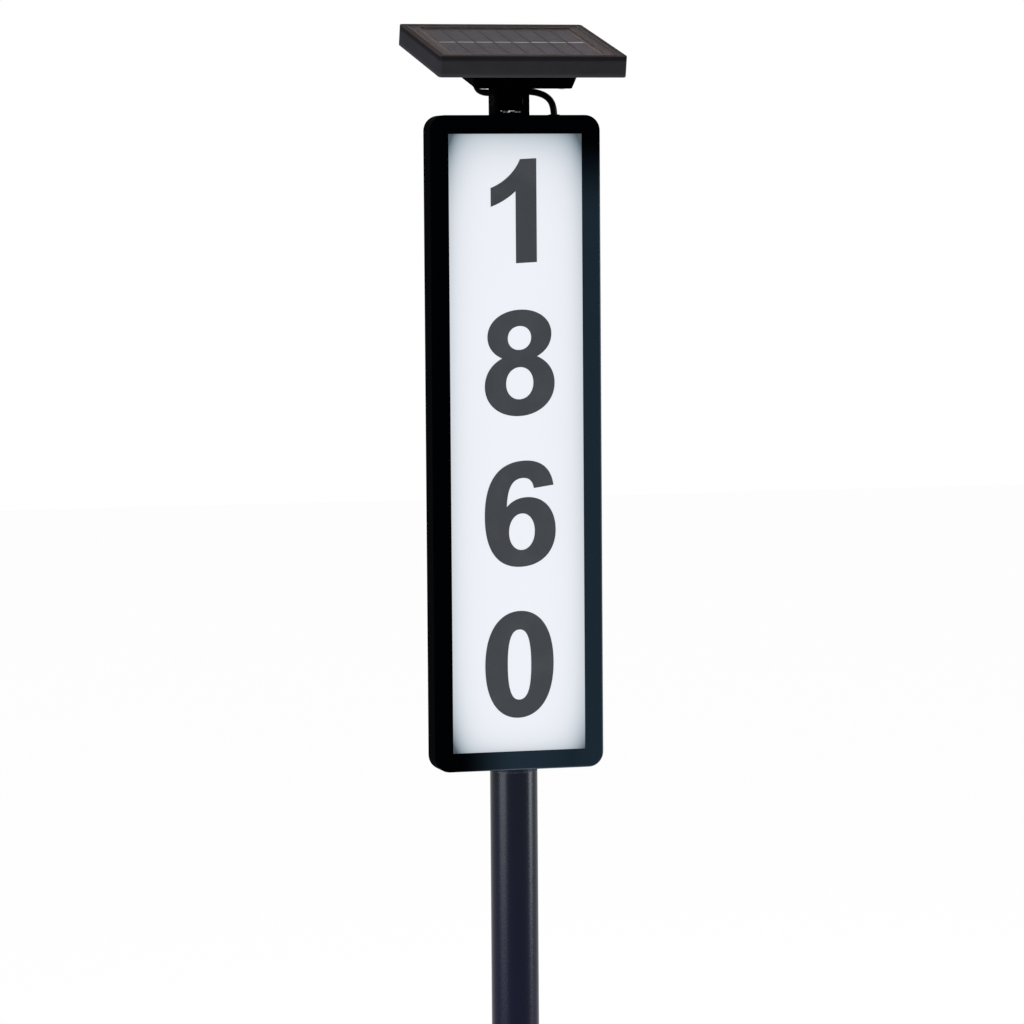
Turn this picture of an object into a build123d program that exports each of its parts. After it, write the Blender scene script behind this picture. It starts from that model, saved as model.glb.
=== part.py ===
from build123d import *
from math import cos, pi, radians, sin, tan
import os

# An illuminated house number sign on a pole, with a tilting solar panel above it.
# Millimetres. The origin is the centre of the pole's lower end, +Z is up and the lit face looks along -Y.

os.makedirs("parts", exist_ok=True)

# Fits and walls that several pieces share
plug_gap = 0.15  # radial, round a plug in its tube
hole_gap = 0.1  # radial, round a screw in its hole
edge_gap = 0.3  # round a sheet in its housing
moving_gap = 0.35  # between pieces that move past each other
pivot_gap = 0.05  # radial, in the tilt pivot

# Screw heads, as shares of the head's or the shank's size
head_edge_round = 0.45
recess_length = 0.55
recess_width = 0.14
recess_depth = 0.6
socket_size = 0.8

# Pole
pole_diameter = 46.5
pole_wall = 2.0
pole_length = 700.0
end_plug_length = 25.0
end_plug_wall = 2.5
coupler_plug_length = 45.0
coupler_collar = 3.0
pole_bolt_radius = 2.5
pole_bolt_head_radius = 5.0
pole_bolt_x = 11.0
pole_bolt_y = 10.0
pole_bolt_grip = 20.0  # depth of thread in the coupler
pole_bolt_tip_gap = 3.0

# Lit box
sign_width = 170.2
sign_height = 636.0
sign_corner = 15.0
front_reach = 23.5  # from the pole's axis to the front face
bezel_depth = 27.0
bezel_wall = 2.5
bezel_border = 18.1
lip_thickness = 2.5
front_edge_round = 1.6
back_inset = 12.0  # of the raised back, at the left and the right
back_depth = 19.0
back_corner = 8.0
back_edge_round = 4.0
flange_thickness = 2.5
face_overlap = 8.0  # of the face behind the bezel's border
gasket_thickness = 1.0
gasket_width = 7.0
face_thickness = 3.0
diffuser_thickness = 1.0
reflector_thickness = 1.5
housing_screw_radius = 1.5
boss_radius = 3.4
boss_edge = 6.2  # from the sign's outer side to a boss's centre
housing_screw_grip = 10.0  # length of a housing screw in its boss
small_head_radius = 2.7
small_head = 1.9
screw_tip_gap = 1.0  # left below the tip of a screw in a blind hole
housing_screw_rows = 5
end_row_edge = 24.0  # from the sign's top or bottom to the nearest screws

# Numerals
numeral_count = 4
numeral_height = 103.2
numeral_thickness = 0.5
numeral_end_room = 28.1  # from the window's top or bottom to the nearest numeral, before the shift
numeral_shift_x = 2.8  # the column stands a little right of the middle
numeral_shift_z = 5.2  # and a little above it
numeral_lean = 1.12  # each numeral stands this much left of the one above
numeral_rise = 0.05  # how much the numerals climb to the right

# Light source
led_board_width = 10.0
led_end_gap = 21.5  # from the window's top or bottom to the end of a board
led_board_thickness = 1.0
led_board_x = 29.0
leds_per_board = 16
led_length = 3.5
led_width = 2.8
led_height = 0.8
wire_hole = 4.0  # radius of the holes that leads pass through

# Electronics in the raised back
cover_width = 108.0
cover_height = 190.0
cover_centre = -60.0  # from the sign's middle
cover_thickness = 2.5
cover_corner = 6.0
cover_edge_round = 1.0
cover_lap = 9.0  # of the cover over the edge of its opening
cover_gasket_thickness = 0.8
cover_screw_radius = 1.5
cover_screw_edge = 4.5
cover_screw_grip = 4.5  # length of a cover screw below the gasket
cover_boss = 4.0  # inside the back wall, under each cover screw
cell_diameter = 14.2
cell_length = 50.0
cell_pitch = 15.4
cell_count = 3
cell_nub_radius = 2.6
cell_nub = 0.8
holder_wall = 1.4
battery_centre = -112.0  # from the sign's middle
board_width = 78.0
board_height = 56.0
board_thickness = 1.6
board_centre = -15.0
standoff_radius = 3.0
standoff_height = 6.0
standoff_edge = 10.0  # the standoffs stand this much closer together than the board's corners
terminal_size = (9.0, 10.0, 6.0)
terminal_x = 30.0
terminal_above = 14.0  # the upper terminal, from the board's middle
terminal_below = 15.0  # the lower ones
# Chips and cans on the board: x, height from the board's middle and sizes
chips = [(8.0, 4.0, 12.0, 9.0), (-18.0, 10.0, 7.0, 7.0)]
chip_thickness = 1.8
can_places = [(-6.0, -15.0), (8.0, -16.0)]
can_radius = 4.0
can_height = 7.5

# Power switch, in the back wall
switch_centre = -215.0
switch_radius = 6.0
switch_flange_radius = 8.5
switch_flange = 1.6
switch_length = 12.0
switch_nut_thickness = 2.5
switch_nut_radius = 8.5  # to its corners
switch_lip = 2.0  # in front of the button's foot
switch_room = 8.0  # depth of the room for the foot and its spring
button_radius = 3.6
button_proud = 3.6
button_travel = 2.0
button_foot_radius = 4.4
button_foot = 1.0
button_edge_round = 1.2

# Plates inside the top and the bottom of the sign
stiffener_width = 64.0
stiffener_depth = 36.0
stiffener_thickness = 6.5

# Yoke, pivot and knuckle
yoke_width = 34.0
yoke_depth = 26.0
yoke_top = 15.5  # the cheeks' flat top, above the pivot
yoke_top_radius = 17.0  # of the cheeks' rounded corners, from the pivot
yoke_cheek = 5.0
yoke_floor = 2.4
pivot_height = 15.0  # above the sign
yoke_screw_radius = 2.0
yoke_screw_head_radius = 3.4
yoke_screw_head = 2.0
yoke_screw_x = 6.2
yoke_screw_y = 9.0
pivot_radius = 3.0
pivot_head_radius = 6.0
pivot_nut_flats = 10.0
pivot_nut_thickness = 3.2
pivot_socket_flats = 4.6
pivot_socket = 2.2
washer_thickness = 1.0
washer_radius = 9.0
knuckle_radius = 10.5
knuckle_height = 21.0  # pivot to the underside of the junction box
knuckle_plate_x = 46.0
knuckle_plate_y = 40.0
knuckle_plate = 3.0
knuckle_plate_corner = 4.0
knuckle_screw_radius = 2.0
knuckle_screw_head_radius = 3.6
knuckle_screw_head = 2.4
knuckle_screw_edge = 5.5

# Solar head
panel_tilt = 13.0  # degrees, front edge down, as it stands
panel_width = 185.4
panel_depth = 164.0
panel_thickness = 20.9
panel_corner = 4.0
panel_wall = 2.5
panel_floor = 2.5
panel_rim = 6.0  # width of the rim round the glass
panel_top_round = 0.8
panel_under_round = 1.0
glass_step = 0.6  # the glass lies this far below the rim
glass_thickness = 2.4
glass_pocket = 1.0  # under the glass, over the cells
glass_pocket_edge = 2.0  # how far it reaches past the cells
laminate_thickness = 2.0
cell_columns = 8
cell_field_width = 146.0
cell_field_depth = 128.0
cell_line = 1.2  # between two cells
solar_cell_thickness = 0.4
ribbon_width = 1.6
ribbon_thickness = 0.3
ribbon_break = 2.6
box_width = 97.0
box_depth = 99.0
box_shift = 1.25  # the box stands a little right of the middle
box_height = 17.1
box_draft = 5.2  # how much wider each side is at the panel
box_wall = 2.5
box_corner = 5.0
box_top_corner = 7.0
box_screw_radius = 1.75
box_screw_inset = 9.0
box_post_radius = 3.85
box_screw_head_radius = 3.2
box_screw_head = 2.0
terminal_board_x = 46.0
terminal_board_y = 22.0
terminal_board_lift = 4.0
terminal_board_shift = 2.0
terminal_post_radius = 2.5
terminal_post_edge = 8.0  # the posts stand this much closer together than the board's corners
terminal_block = (7.0, 9.0, 6.5)
terminal_block_pitch = 9.0
seat_ledge = 4.0
tray_rib = 2.0
tray_hole = 12.0  # the hole for the cells' wires, from the middle in x and y

# Lead from the junction box to the sign
lead_diameter = 6.6
gland_radius = 6.0
gland_length = 7.0
gland_wall = 1.5
gland_thread = 3.0  # stands this far above the box's floor
gland_nut = 2.0
gland_edge_round = 1.5
gland_run = 6.5  # straight run of the lead below the gland
lead_in_gland = 3.0
gland_x = -27.2
gland_y = 27.0
grommet_x = 49.0
grommet_y = 13.0
grommet_lip = 1.2
grommet_radius = 5.6
grommet_neck = 4.7
lead_meeting = 1.2  # below the sign's top, where the outer lead meets the one inside
inner_lead_diameter = 3.0
solar_lead_top = 28.8  # straight runs at the ends of the leads inside
solar_lead_foot = 16.0
light_lead_top = 20.0
light_lead_foot = 4.9
battery_lead_run = 12.5
switch_lead_run = 5.5
switch_lead_top = 19.5
light_swing = 27.0  # how far the light lead swings to the side
light_lift = 5.0  # and towards the back
solar_lift = 0.5
battery_swing = 1.0
battery_lift = 0.4
switch_swing = 1.5
switch_lift = 1.4
battery_lead_x = 20.0
battery_lead_y = 6.0
switch_lead_x = 10.0
switch_lead_y = 5.0
bend_share = 0.45  # of the shorter run beside it that an arc of a lead takes up

# Places that follow from the sizes
pole_radius = pole_diameter / 2
pole_bore = pole_radius - pole_wall
sign_bottom = pole_length + coupler_collar
sign_top = sign_bottom + sign_height
sign_middle = sign_bottom + sign_height / 2
bezel_back = front_reach - bezel_depth  # depths are measured from the pole's axis towards the front
lip_back = front_reach - lip_thickness
back_outside = bezel_back - back_depth
back_inside = back_outside + bezel_wall
flange_front = bezel_back + flange_thickness
window_width = sign_width - 2 * bezel_border
window_height = sign_height - 2 * bezel_border
stack_width = window_width + 2 * face_overlap
stack_height = window_height + 2 * face_overlap
led_board_length = window_height - 2 * led_end_gap
numeral_pitch = (window_height - 2 * numeral_end_room - numeral_height) / (numeral_count - 1)
inner_width = sign_width - 2 * bezel_wall
inner_height = sign_height - 2 * bezel_wall
raised_width = sign_width - 2 * back_inset
face_front = lip_back - gasket_thickness
face_back = face_front - face_thickness
diffuser_back = face_back - diffuser_thickness
reflector_front = flange_front + reflector_thickness
pivot_z = sign_top + pivot_height
sign_floor = Plane.XY.offset(sign_bottom + bezel_wall)
sign_roof = Plane.XY.offset(sign_top)


def upright(depth):
    """A plane that faces the front, with its origin at the sign's middle."""
    return Plane(origin=(0, -depth, sign_middle), x_dir=(1, 0, 0), z_dir=(0, -1, 0))


def rear(depth):
    """A plane that faces the back, with its origin at the sign's middle and x to the left."""
    return Plane(origin=(0, -depth, sign_middle), x_dir=(-1, 0, 0), z_dir=(0, 1, 0))


def save(piece, name):
    piece.part.label = name
    export_step(piece.part, f"parts/{name}.step")


def corners_of(width, height):
    """The four corners of a rectangle about the origin."""
    return [(x * width / 2, y * height / 2) for x in (-1, 1) for y in (-1, 1)]


def pan_screws(plane, points, radius, length, head_radius, head_height):
    """Cross-recessed screws with their heads on the plane and their shanks below it."""
    with BuildPart() as screws:
        with BuildSketch(plane):
            with Locations(*points):
                Circle(head_radius)
        extrude(amount=head_height)
        tops = screws.faces().group_by(Axis(plane.origin, plane.z_dir))[-1]
        fillet(tops.edges(), head_height * head_edge_round)
        with BuildSketch(plane):
            with Locations(*points):
                Circle(radius)
        extrude(amount=-length)
        with BuildSketch(plane.offset(head_height)):
            with Locations(*points):
                Rectangle(2 * head_radius * recess_length, 2 * head_radius * recess_width)
                Rectangle(2 * head_radius * recess_width, 2 * head_radius * recess_length)
        extrude(amount=-head_height * recess_depth, mode=Mode.SUBTRACT)
    return screws


def plane_at(plane, x, y):
    """The same plane with its origin moved to a point on it."""
    return Plane(plane.from_local_coords((x, y, 0)), x_dir=plane.x_dir, z_dir=plane.z_dir)


def flush_screws(plane, points, radius, length, head_radius):
    """Countersunk screws whose heads lie in the plane."""
    cone = head_radius - radius
    with BuildPart() as screws:
        for x, y in points:
            with BuildSketch(plane_at(plane, x, y)):
                Circle(head_radius)
            extrude(amount=-cone, taper=45)
        with BuildSketch(plane):
            with Locations(*points):
                Circle(radius)
        extrude(amount=-length)
        with BuildSketch(plane):
            with Locations(*points):
                RegularPolygon(radius * socket_size, 6)
        extrude(amount=-cone, mode=Mode.SUBTRACT)
    return screws


def drill(plane, points, radius, depth):
    """Cuts round holes down from the plane into the part being built."""
    with BuildSketch(plane) as holes:
        with Locations(*points):
            Circle(radius)
    extrude(holes.sketch, amount=-depth, mode=Mode.SUBTRACT)


def countersink(plane, points, radius, head_radius, depth):
    """Cuts holes with a cone for a flush head, down from the plane."""
    cone = head_radius - radius
    for x, y in points:
        with BuildSketch(plane_at(plane, x, y)) as mouth:
            Circle(head_radius + hole_gap)
        extrude(mouth.sketch, amount=-cone, taper=45, mode=Mode.SUBTRACT)
    drill(plane, points, radius + hole_gap, depth)


# ---------------------------------------------------------------- pole
with BuildPart() as pole:
    with BuildSketch(Plane.XY):
        Circle(pole_radius)
        Circle(pole_bore, mode=Mode.SUBTRACT)
    extrude(amount=pole_length)
save(pole, "pole")

with BuildPart() as pole_end_plug:
    with BuildSketch(Plane.XY):
        Circle(pole_bore - plug_gap)
    extrude(amount=end_plug_length)
    with BuildSketch(Plane.XY.offset(end_plug_wall)):
        Circle(pole_bore - plug_gap - end_plug_wall)
    extrude(amount=end_plug_length - end_plug_wall, mode=Mode.SUBTRACT)
save(pole_end_plug, "pole_end_plug")

pole_bolt_points = corners_of(2 * pole_bolt_x, 2 * pole_bolt_y)
with BuildPart() as pole_coupler:
    with BuildSketch(Plane.XY.offset(pole_length - coupler_plug_length)):
        Circle(pole_bore - plug_gap)
    extrude(amount=coupler_plug_length)
    with BuildSketch(Plane.XY.offset(pole_length)):
        Circle(pole_radius)
    extrude(amount=coupler_collar)
    drill(
        Plane.XY.offset(sign_bottom),
        pole_bolt_points,
        pole_bolt_radius + hole_gap,
        coupler_collar + pole_bolt_grip,
    )
save(pole_coupler, "pole_coupler")

# ---------------------------------------------------------------- lit box, from the front to the back
screw_x = sign_width / 2 - boss_edge
screw_pitch = (sign_height - 2 * end_row_edge) / (housing_screw_rows - 1)
screw_rows = [end_row_edge - sign_height / 2 + screw_pitch * row for row in range(housing_screw_rows)]
housing_screw_points = [(side * screw_x, z) for side in (-1, 1) for z in screw_rows]
yoke_screw_points = corners_of(2 * yoke_screw_x, 2 * yoke_screw_y)

with BuildPart() as front_bezel:
    with BuildSketch(upright(bezel_back)):
        RectangleRounded(sign_width, sign_height, sign_corner)
    extrude(amount=bezel_depth)
    fillet(front_bezel.faces().sort_by(Axis.Y)[0].edges(), front_edge_round)
    with BuildSketch(upright(bezel_back)):
        RectangleRounded(inner_width, inner_height, sign_corner - bezel_wall)
    extrude(amount=bezel_depth - lip_thickness, mode=Mode.SUBTRACT)
    with BuildSketch(upright(lip_back)):
        Rectangle(window_width, window_height)
    extrude(amount=lip_thickness, mode=Mode.SUBTRACT)
    with BuildSketch(upright(flange_front)):
        with Locations(*housing_screw_points):
            Circle(boss_radius)
    extrude(amount=lip_back - flange_front)
    drill(
        rear(flange_front),
        housing_screw_points,
        housing_screw_radius + hole_gap,
        housing_screw_grip + screw_tip_gap,
    )
    drill(sign_floor, pole_bolt_points, pole_bolt_radius + hole_gap, bezel_wall)
    drill(sign_roof, yoke_screw_points, yoke_screw_radius + hole_gap, bezel_wall)
save(front_bezel, "front_bezel")

with BuildPart() as face_gasket:
    with BuildSketch(upright(face_front)):
        Rectangle(stack_width, stack_height)
        Rectangle(stack_width - 2 * gasket_width, stack_height - 2 * gasket_width, mode=Mode.SUBTRACT)
    extrude(amount=gasket_thickness)
save(face_gasket, "face_gasket")

with BuildPart() as face_panel:
    with BuildSketch(upright(face_back)):
        Rectangle(stack_width, stack_height)
    extrude(amount=face_thickness)
save(face_panel, "face_panel")

with BuildPart() as diffuser_sheet:
    with BuildSketch(upright(diffuser_back)):
        Rectangle(stack_width, stack_height)
    extrude(amount=diffuser_thickness)
save(diffuser_sheet, "diffuser_sheet")

with BuildPart() as light_frame:
    with BuildSketch(upright(reflector_front)):
        Rectangle(stack_width, stack_height)
        Rectangle(stack_width - 2 * gasket_width, stack_height - 2 * gasket_width, mode=Mode.SUBTRACT)
    extrude(amount=diffuser_back - reflector_front)
save(light_frame, "light_frame")

wire_hole_z = led_board_length / 2 + led_board_width
with BuildPart() as reflector_plate:
    with BuildSketch(upright(flange_front)):
        Rectangle(stack_width, stack_height)
    extrude(amount=reflector_thickness)
    drill(upright(reflector_front), [(0, -wire_hole_z)], wire_hole, reflector_thickness)
save(reflector_plate, "reflector_plate")

with BuildPart() as led_boards:
    with BuildSketch(upright(reflector_front)):
        with Locations((-led_board_x, 0), (led_board_x, 0)):
            Rectangle(led_board_width, led_board_length)
    extrude(amount=led_board_thickness)
save(led_boards, "led_boards")

with BuildPart() as led_link_board:
    with BuildSketch(upright(reflector_front)):
        with Locations((0, -led_board_length / 2 - led_board_width / 2)):
            Rectangle(2 * led_board_x + led_board_width, led_board_width)
    extrude(amount=led_board_thickness)
save(led_link_board, "led_link_board")

led_pitch = led_board_length / leds_per_board
with BuildPart() as leds:
    with BuildSketch(upright(reflector_front + led_board_thickness)):
        with GridLocations(2 * led_board_x, led_pitch, 2, leds_per_board):
            Rectangle(led_width, led_length)
    extrude(amount=led_height)
save(leds, "leds")

# ---------------------------------------------------------------- numerals on the face
scale_up = numeral_height / 100  # the outlines below are drawn 100 tall
numeral_front = upright(face_front)


def spot(x, z, middle):
    """A point of a numeral's outline, with the column's lean and the climb to the right."""
    return (
        numeral_shift_x + numeral_lean * middle / numeral_pitch + x * scale_up,
        middle + numeral_shift_z + (z + numeral_rise * x) * scale_up,
    )


def curve(points, middle):
    Bezier(*[spot(x, z, middle) for x, z in points])


def oval(middle, centre, half_width, half_height, side=0.6, cap=0.56, mode=Mode.ADD):
    """A filled or cut oval. side and cap say how full its flanks and its ends are."""
    x, z = centre
    w, h = half_width, half_height
    with BuildLine() as outline:
        for sx, sz in ((1, 1), (-1, 1), (-1, -1), (1, -1)):
            flank, top = (x + sx * w, z), (x, z + sz * h)
            flank_handle, top_handle = (x + sx * w, z + sz * h * side), (x + sx * w * cap, z + sz * h)
            curve([flank, flank_handle, top_handle, top], middle)
    make_face(outline.edges(), mode=mode)


def numeral_middle(place):
    """The height of a numeral's middle, counted from the top one, place 0."""
    return ((numeral_count - 1) / 2 - place) * numeral_pitch


middle = numeral_middle(0)
with BuildPart() as numeral_1:
    with BuildSketch(numeral_front):
        with BuildLine():
            curve([(0.6, 48.6), (-4.5, 36.6), (-15.6, 27.2), (-28.1, 23.2)], middle)
            curve([(-28.1, 23.2), (-28.1, 5.5)], middle)
            curve([(-28.1, 5.5), (-19.3, 8.3), (-10.8, 12.7), (-3.9, 18.9)], middle)
            curve([(-3.9, 18.9), (-3.9, -48.6)], middle)
            curve([(-3.9, -48.6), (16.4, -48.6)], middle)
            curve([(16.4, -48.6), (16.4, 48.6)], middle)
            curve([(16.4, 48.6), (0.6, 48.6)], middle)
        make_face()
    extrude(amount=numeral_thickness)
save(numeral_1, "numeral_1")

middle = numeral_middle(1)
with BuildPart() as numeral_8:
    with BuildSketch(numeral_front):
        oval(middle, (0, 25.8), 31.1, 24.2)
        oval(middle, (0, -20.6), 34.0, 29.4)
        oval(middle, (0, 23.4), 11.4, 11.2, mode=Mode.SUBTRACT)
        oval(middle, (0, -19.1), 13.3, 15.1, mode=Mode.SUBTRACT)
    extrude(amount=numeral_thickness)
save(numeral_8, "numeral_8")

middle = numeral_middle(2)
with BuildPart() as numeral_6:
    with BuildSketch(numeral_front):
        with BuildLine():
            curve([(33.3, 25.2), (31.1, 41.5), (20.9, 50.0), (4.5, 50.0)], middle)
            curve([(4.5, 50.0), (-20.7, 50.0), (-33.9, 32.9), (-33.9, -0.6)], middle)
            curve([(-33.9, -0.6), (-33.9, -32.7), (-21.7, -50.0), (2.0, -50.0)], middle)
            curve([(2.0, -50.0), (22.2, -50.0), (35.2, -36.8), (35.2, -17.1)], middle)
            curve([(35.2, -17.1), (35.2, 2.6), (23.6, 15.4), (6.7, 15.4)], middle)
            curve([(6.7, 15.4), (-1.0, 15.4), (-7.5, 12.7), (-12.4, 7.3)], middle)
            curve([(-12.4, 7.3), (-11.7, 26.0), (-6.5, 33.7), (3.3, 33.7)], middle)
            curve([(3.3, 33.7), (9.4, 33.7), (13.1, 30.3), (14.1, 23.4)], middle)
            curve([(14.1, 23.4), (33.3, 25.2)], middle)
        make_face()
        oval(middle, (2.2, -16.9), 12.6, 17.2, mode=Mode.SUBTRACT)
    extrude(amount=numeral_thickness)
save(numeral_6, "numeral_6")

middle = numeral_middle(3)
with BuildPart() as numeral_0:
    with BuildSketch(numeral_front):
        oval(middle, (0, 0), 33.4, 50.6, side=0.68)
        oval(middle, (0, -0.2), 11.5, 33.2, side=0.76, cap=0.62, mode=Mode.SUBTRACT)
    extrude(amount=numeral_thickness)
save(numeral_0, "numeral_0")

# ---------------------------------------------------------------- raised back and its cover
cover_plane = rear(back_outside)
opening_width = cover_width - 2 * cover_lap
opening_height = cover_height - 2 * cover_lap
cover_screw_points = [
    (x * (cover_width / 2 - cover_screw_edge), cover_centre + z * (cover_height / 2 - cover_screw_edge))
    for x in (-1, 1)
    for z in (-1, 0, 1)
]
with BuildPart() as rear_housing:
    with BuildSketch(upright(bezel_back)):
        RectangleRounded(
            inner_width - 2 * edge_gap,
            inner_height - 2 * edge_gap,
            sign_corner - bezel_wall - edge_gap,
        )
    extrude(amount=flange_thickness)
    with BuildSketch(upright(back_outside)):
        RectangleRounded(raised_width, sign_height, back_corner)
    extrude(amount=back_depth)
    fillet(rear_housing.faces().sort_by(Axis.Y)[-1].edges(), back_edge_round)
    with BuildSketch(upright(back_inside)):
        Rectangle(raised_width - 2 * bezel_wall, sign_height - 2 * bezel_wall)
    extrude(amount=flange_front - back_inside, mode=Mode.SUBTRACT)
    with BuildSketch(upright(back_outside)):
        with Locations((0, cover_centre)):
            Rectangle(opening_width, opening_height)
    extrude(amount=bezel_wall, mode=Mode.SUBTRACT)
    with BuildSketch(upright(back_inside)):
        with Locations(*cover_screw_points):
            Circle(boss_radius)
    extrude(amount=cover_boss)
    drill(cover_plane, cover_screw_points, cover_screw_radius + hole_gap, cover_screw_grip + screw_tip_gap)
    drill(cover_plane, [(0, switch_centre)], switch_radius + hole_gap, bezel_wall)
    drill(rear(bezel_back), housing_screw_points, housing_screw_radius + hole_gap, flange_thickness)
    drill(sign_floor, pole_bolt_points, pole_bolt_radius + hole_gap, bezel_wall)
    drill(sign_roof, yoke_screw_points, yoke_screw_radius + hole_gap, bezel_wall)
    drill(sign_roof, [(grommet_x, grommet_y)], grommet_neck + hole_gap, bezel_wall)
save(rear_housing, "rear_housing")

housing_screws = pan_screws(
    rear(bezel_back),
    housing_screw_points,
    housing_screw_radius,
    flange_thickness + housing_screw_grip,
    small_head_radius,
    small_head,
)
save(housing_screws, "housing_screws")

with BuildPart() as rear_cover_gasket:
    with BuildSketch(cover_plane):
        with Locations((0, cover_centre)):
            RectangleRounded(cover_width, cover_height, cover_corner)
            Rectangle(opening_width, opening_height, mode=Mode.SUBTRACT)
        with Locations(*cover_screw_points):
            Circle(cover_screw_radius + hole_gap, mode=Mode.SUBTRACT)
    extrude(amount=cover_gasket_thickness)
save(rear_cover_gasket, "rear_cover_gasket")

cover_inside = cover_plane.offset(cover_gasket_thickness)
cover_outside = cover_inside.offset(cover_thickness)
with BuildPart() as rear_cover:
    with BuildSketch(cover_inside):
        with Locations((0, cover_centre)):
            RectangleRounded(cover_width, cover_height, cover_corner)
    extrude(amount=cover_thickness)
    fillet(rear_cover.faces().sort_by(Axis.Y)[-1].edges(), cover_edge_round)
    drill(cover_outside, cover_screw_points, cover_screw_radius + hole_gap, cover_thickness)
save(rear_cover, "rear_cover")

rear_cover_screws = pan_screws(
    cover_outside,
    cover_screw_points,
    cover_screw_radius,
    cover_thickness + cover_gasket_thickness + cover_screw_grip,
    small_head_radius,
    small_head,
)
save(rear_cover_screws, "rear_cover_screws")

# ---------------------------------------------------------------- battery, board and switch
pack_width = cell_length + 2 * holder_wall + 2 * cell_nub
pack_height = cell_pitch * cell_count + 2 * holder_wall
cell_depth = -(flange_front - holder_wall - cell_diameter / 2 - hole_gap)  # from the axis towards the back
pack_front = cell_depth - cell_diameter / 2 - hole_gap - holder_wall
cell_rows = [battery_centre + (row - (cell_count - 1) / 2) * cell_pitch for row in range(cell_count)]
with BuildPart() as battery_holder:
    with BuildSketch(rear(-pack_front)):
        with Locations((0, battery_centre)):
            Rectangle(pack_width, pack_height)
    extrude(amount=holder_wall + cell_diameter / 2 + hole_gap)
    for z in cell_rows:
        cell_end = (-cell_length / 2 - cell_nub, cell_depth, sign_middle + z)
        with BuildSketch(Plane(cell_end, z_dir=(1, 0, 0))):
            Circle(cell_diameter / 2 + hole_gap)
        extrude(amount=cell_length + 2 * cell_nub, mode=Mode.SUBTRACT)
save(battery_holder, "battery_holder")

with BuildPart() as battery_cells:
    for row, z in enumerate(cell_rows):
        way = 1 if row % 2 else -1
        start = Plane((-way * cell_length / 2, cell_depth, sign_middle + z), z_dir=(way, 0, 0))
        with BuildSketch(start):
            Circle(cell_diameter / 2)
        extrude(amount=cell_length)
        with BuildSketch(start.offset(cell_length)):
            Circle(cell_nub_radius)
        extrude(amount=cell_nub)
save(battery_cells, "battery_cells")

standoff_points = [
    (x, board_centre + z) for x, z in corners_of(board_width - standoff_edge, board_height - standoff_edge)
]
board_back = rear(flange_front).offset(standoff_height)
with BuildPart() as board_standoffs:
    with BuildSketch(rear(flange_front)):
        with Locations(*standoff_points):
            Circle(standoff_radius)
    extrude(amount=standoff_height)
save(board_standoffs, "board_standoffs")

with BuildPart() as controller_board:
    with BuildSketch(board_back):
        with Locations((0, board_centre)):
            Rectangle(board_width, board_height)
    extrude(amount=board_thickness)
save(controller_board, "controller_board")

parts_face = board_back.offset(board_thickness)
terminal_points = [
    (-terminal_x, board_centre + terminal_above),
    (-terminal_x, board_centre - terminal_below),
    (terminal_x, board_centre - terminal_below),
]
with BuildPart() as board_parts:
    with BuildSketch(parts_face):
        for x, z, chip_width, chip_height in chips:
            with Locations((x, board_centre + z)):
                Rectangle(chip_width, chip_height)
    extrude(amount=chip_thickness)
    with BuildSketch(parts_face):
        with Locations(*[(x, board_centre + z) for x, z in can_places]):
            Circle(can_radius)
    extrude(amount=can_height)
    with BuildSketch(parts_face):
        with Locations(*terminal_points):
            Rectangle(terminal_size[0], terminal_size[1])
    extrude(amount=terminal_size[2])
save(board_parts, "board_parts")

with BuildPart() as switch_body:
    with BuildSketch(cover_plane):
        with Locations((0, switch_centre)):
            Circle(switch_flange_radius)
    extrude(amount=switch_flange)
    with BuildSketch(cover_plane):
        with Locations((0, switch_centre)):
            Circle(switch_radius)
    extrude(amount=-switch_length)
    drill(
        cover_plane.offset(switch_flange),
        [(0, switch_centre)],
        button_radius + moving_gap,
        switch_flange + switch_lip,
    )
    drill(
        cover_plane.offset(-switch_lip),
        [(0, switch_centre)],
        button_foot_radius + moving_gap,
        switch_room,
    )
save(switch_body, "switch_body")

with BuildPart() as switch_nut:
    with BuildSketch(rear(back_inside)):
        with Locations((0, switch_centre)):
            RegularPolygon(switch_nut_radius, 6)
            Circle(switch_radius + pivot_gap, mode=Mode.SUBTRACT)
    extrude(amount=-switch_nut_thickness)
save(switch_nut, "switch_nut")

foot_top = -switch_lip - moving_gap
with BuildPart() as power_button:
    with BuildSketch(cover_plane.offset(foot_top - button_foot)):
        with Locations((0, switch_centre)):
            Circle(button_foot_radius)
    extrude(amount=button_foot)
    with BuildSketch(cover_plane.offset(foot_top)):
        with Locations((0, switch_centre)):
            Circle(button_radius)
    extrude(amount=switch_flange + button_proud - foot_top)
    fillet(power_button.faces().sort_by(Axis.Y)[-1].edges(), button_edge_round)
save(power_button, "power_button")

# ---------------------------------------------------------------- plates inside the ends of the sign
plate_top = sign_floor.offset(stiffener_thickness)
with BuildPart() as pole_mount_plate:
    with BuildSketch(sign_floor):
        Rectangle(stiffener_width, stiffener_depth)
    extrude(amount=stiffener_thickness)
    countersink(
        plate_top,
        pole_bolt_points,
        pole_bolt_radius,
        pole_bolt_head_radius,
        stiffener_thickness,
    )
save(pole_mount_plate, "pole_mount_plate")

pole_bolts = flush_screws(
    plate_top,
    pole_bolt_points,
    pole_bolt_radius,
    stiffener_thickness + bezel_wall + coupler_collar + pole_bolt_grip - pole_bolt_tip_gap,
    pole_bolt_head_radius,
)
save(pole_bolts, "pole_bolts")

sign_ceiling = sign_roof.offset(-bezel_wall)
with BuildPart() as yoke_backing_plate:
    with BuildSketch(sign_ceiling):
        Rectangle(stiffener_width, stiffener_depth)
    extrude(amount=-stiffener_thickness)
    drill(sign_ceiling, yoke_screw_points, yoke_screw_radius + hole_gap, stiffener_thickness)
save(yoke_backing_plate, "yoke_backing_plate")

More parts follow.
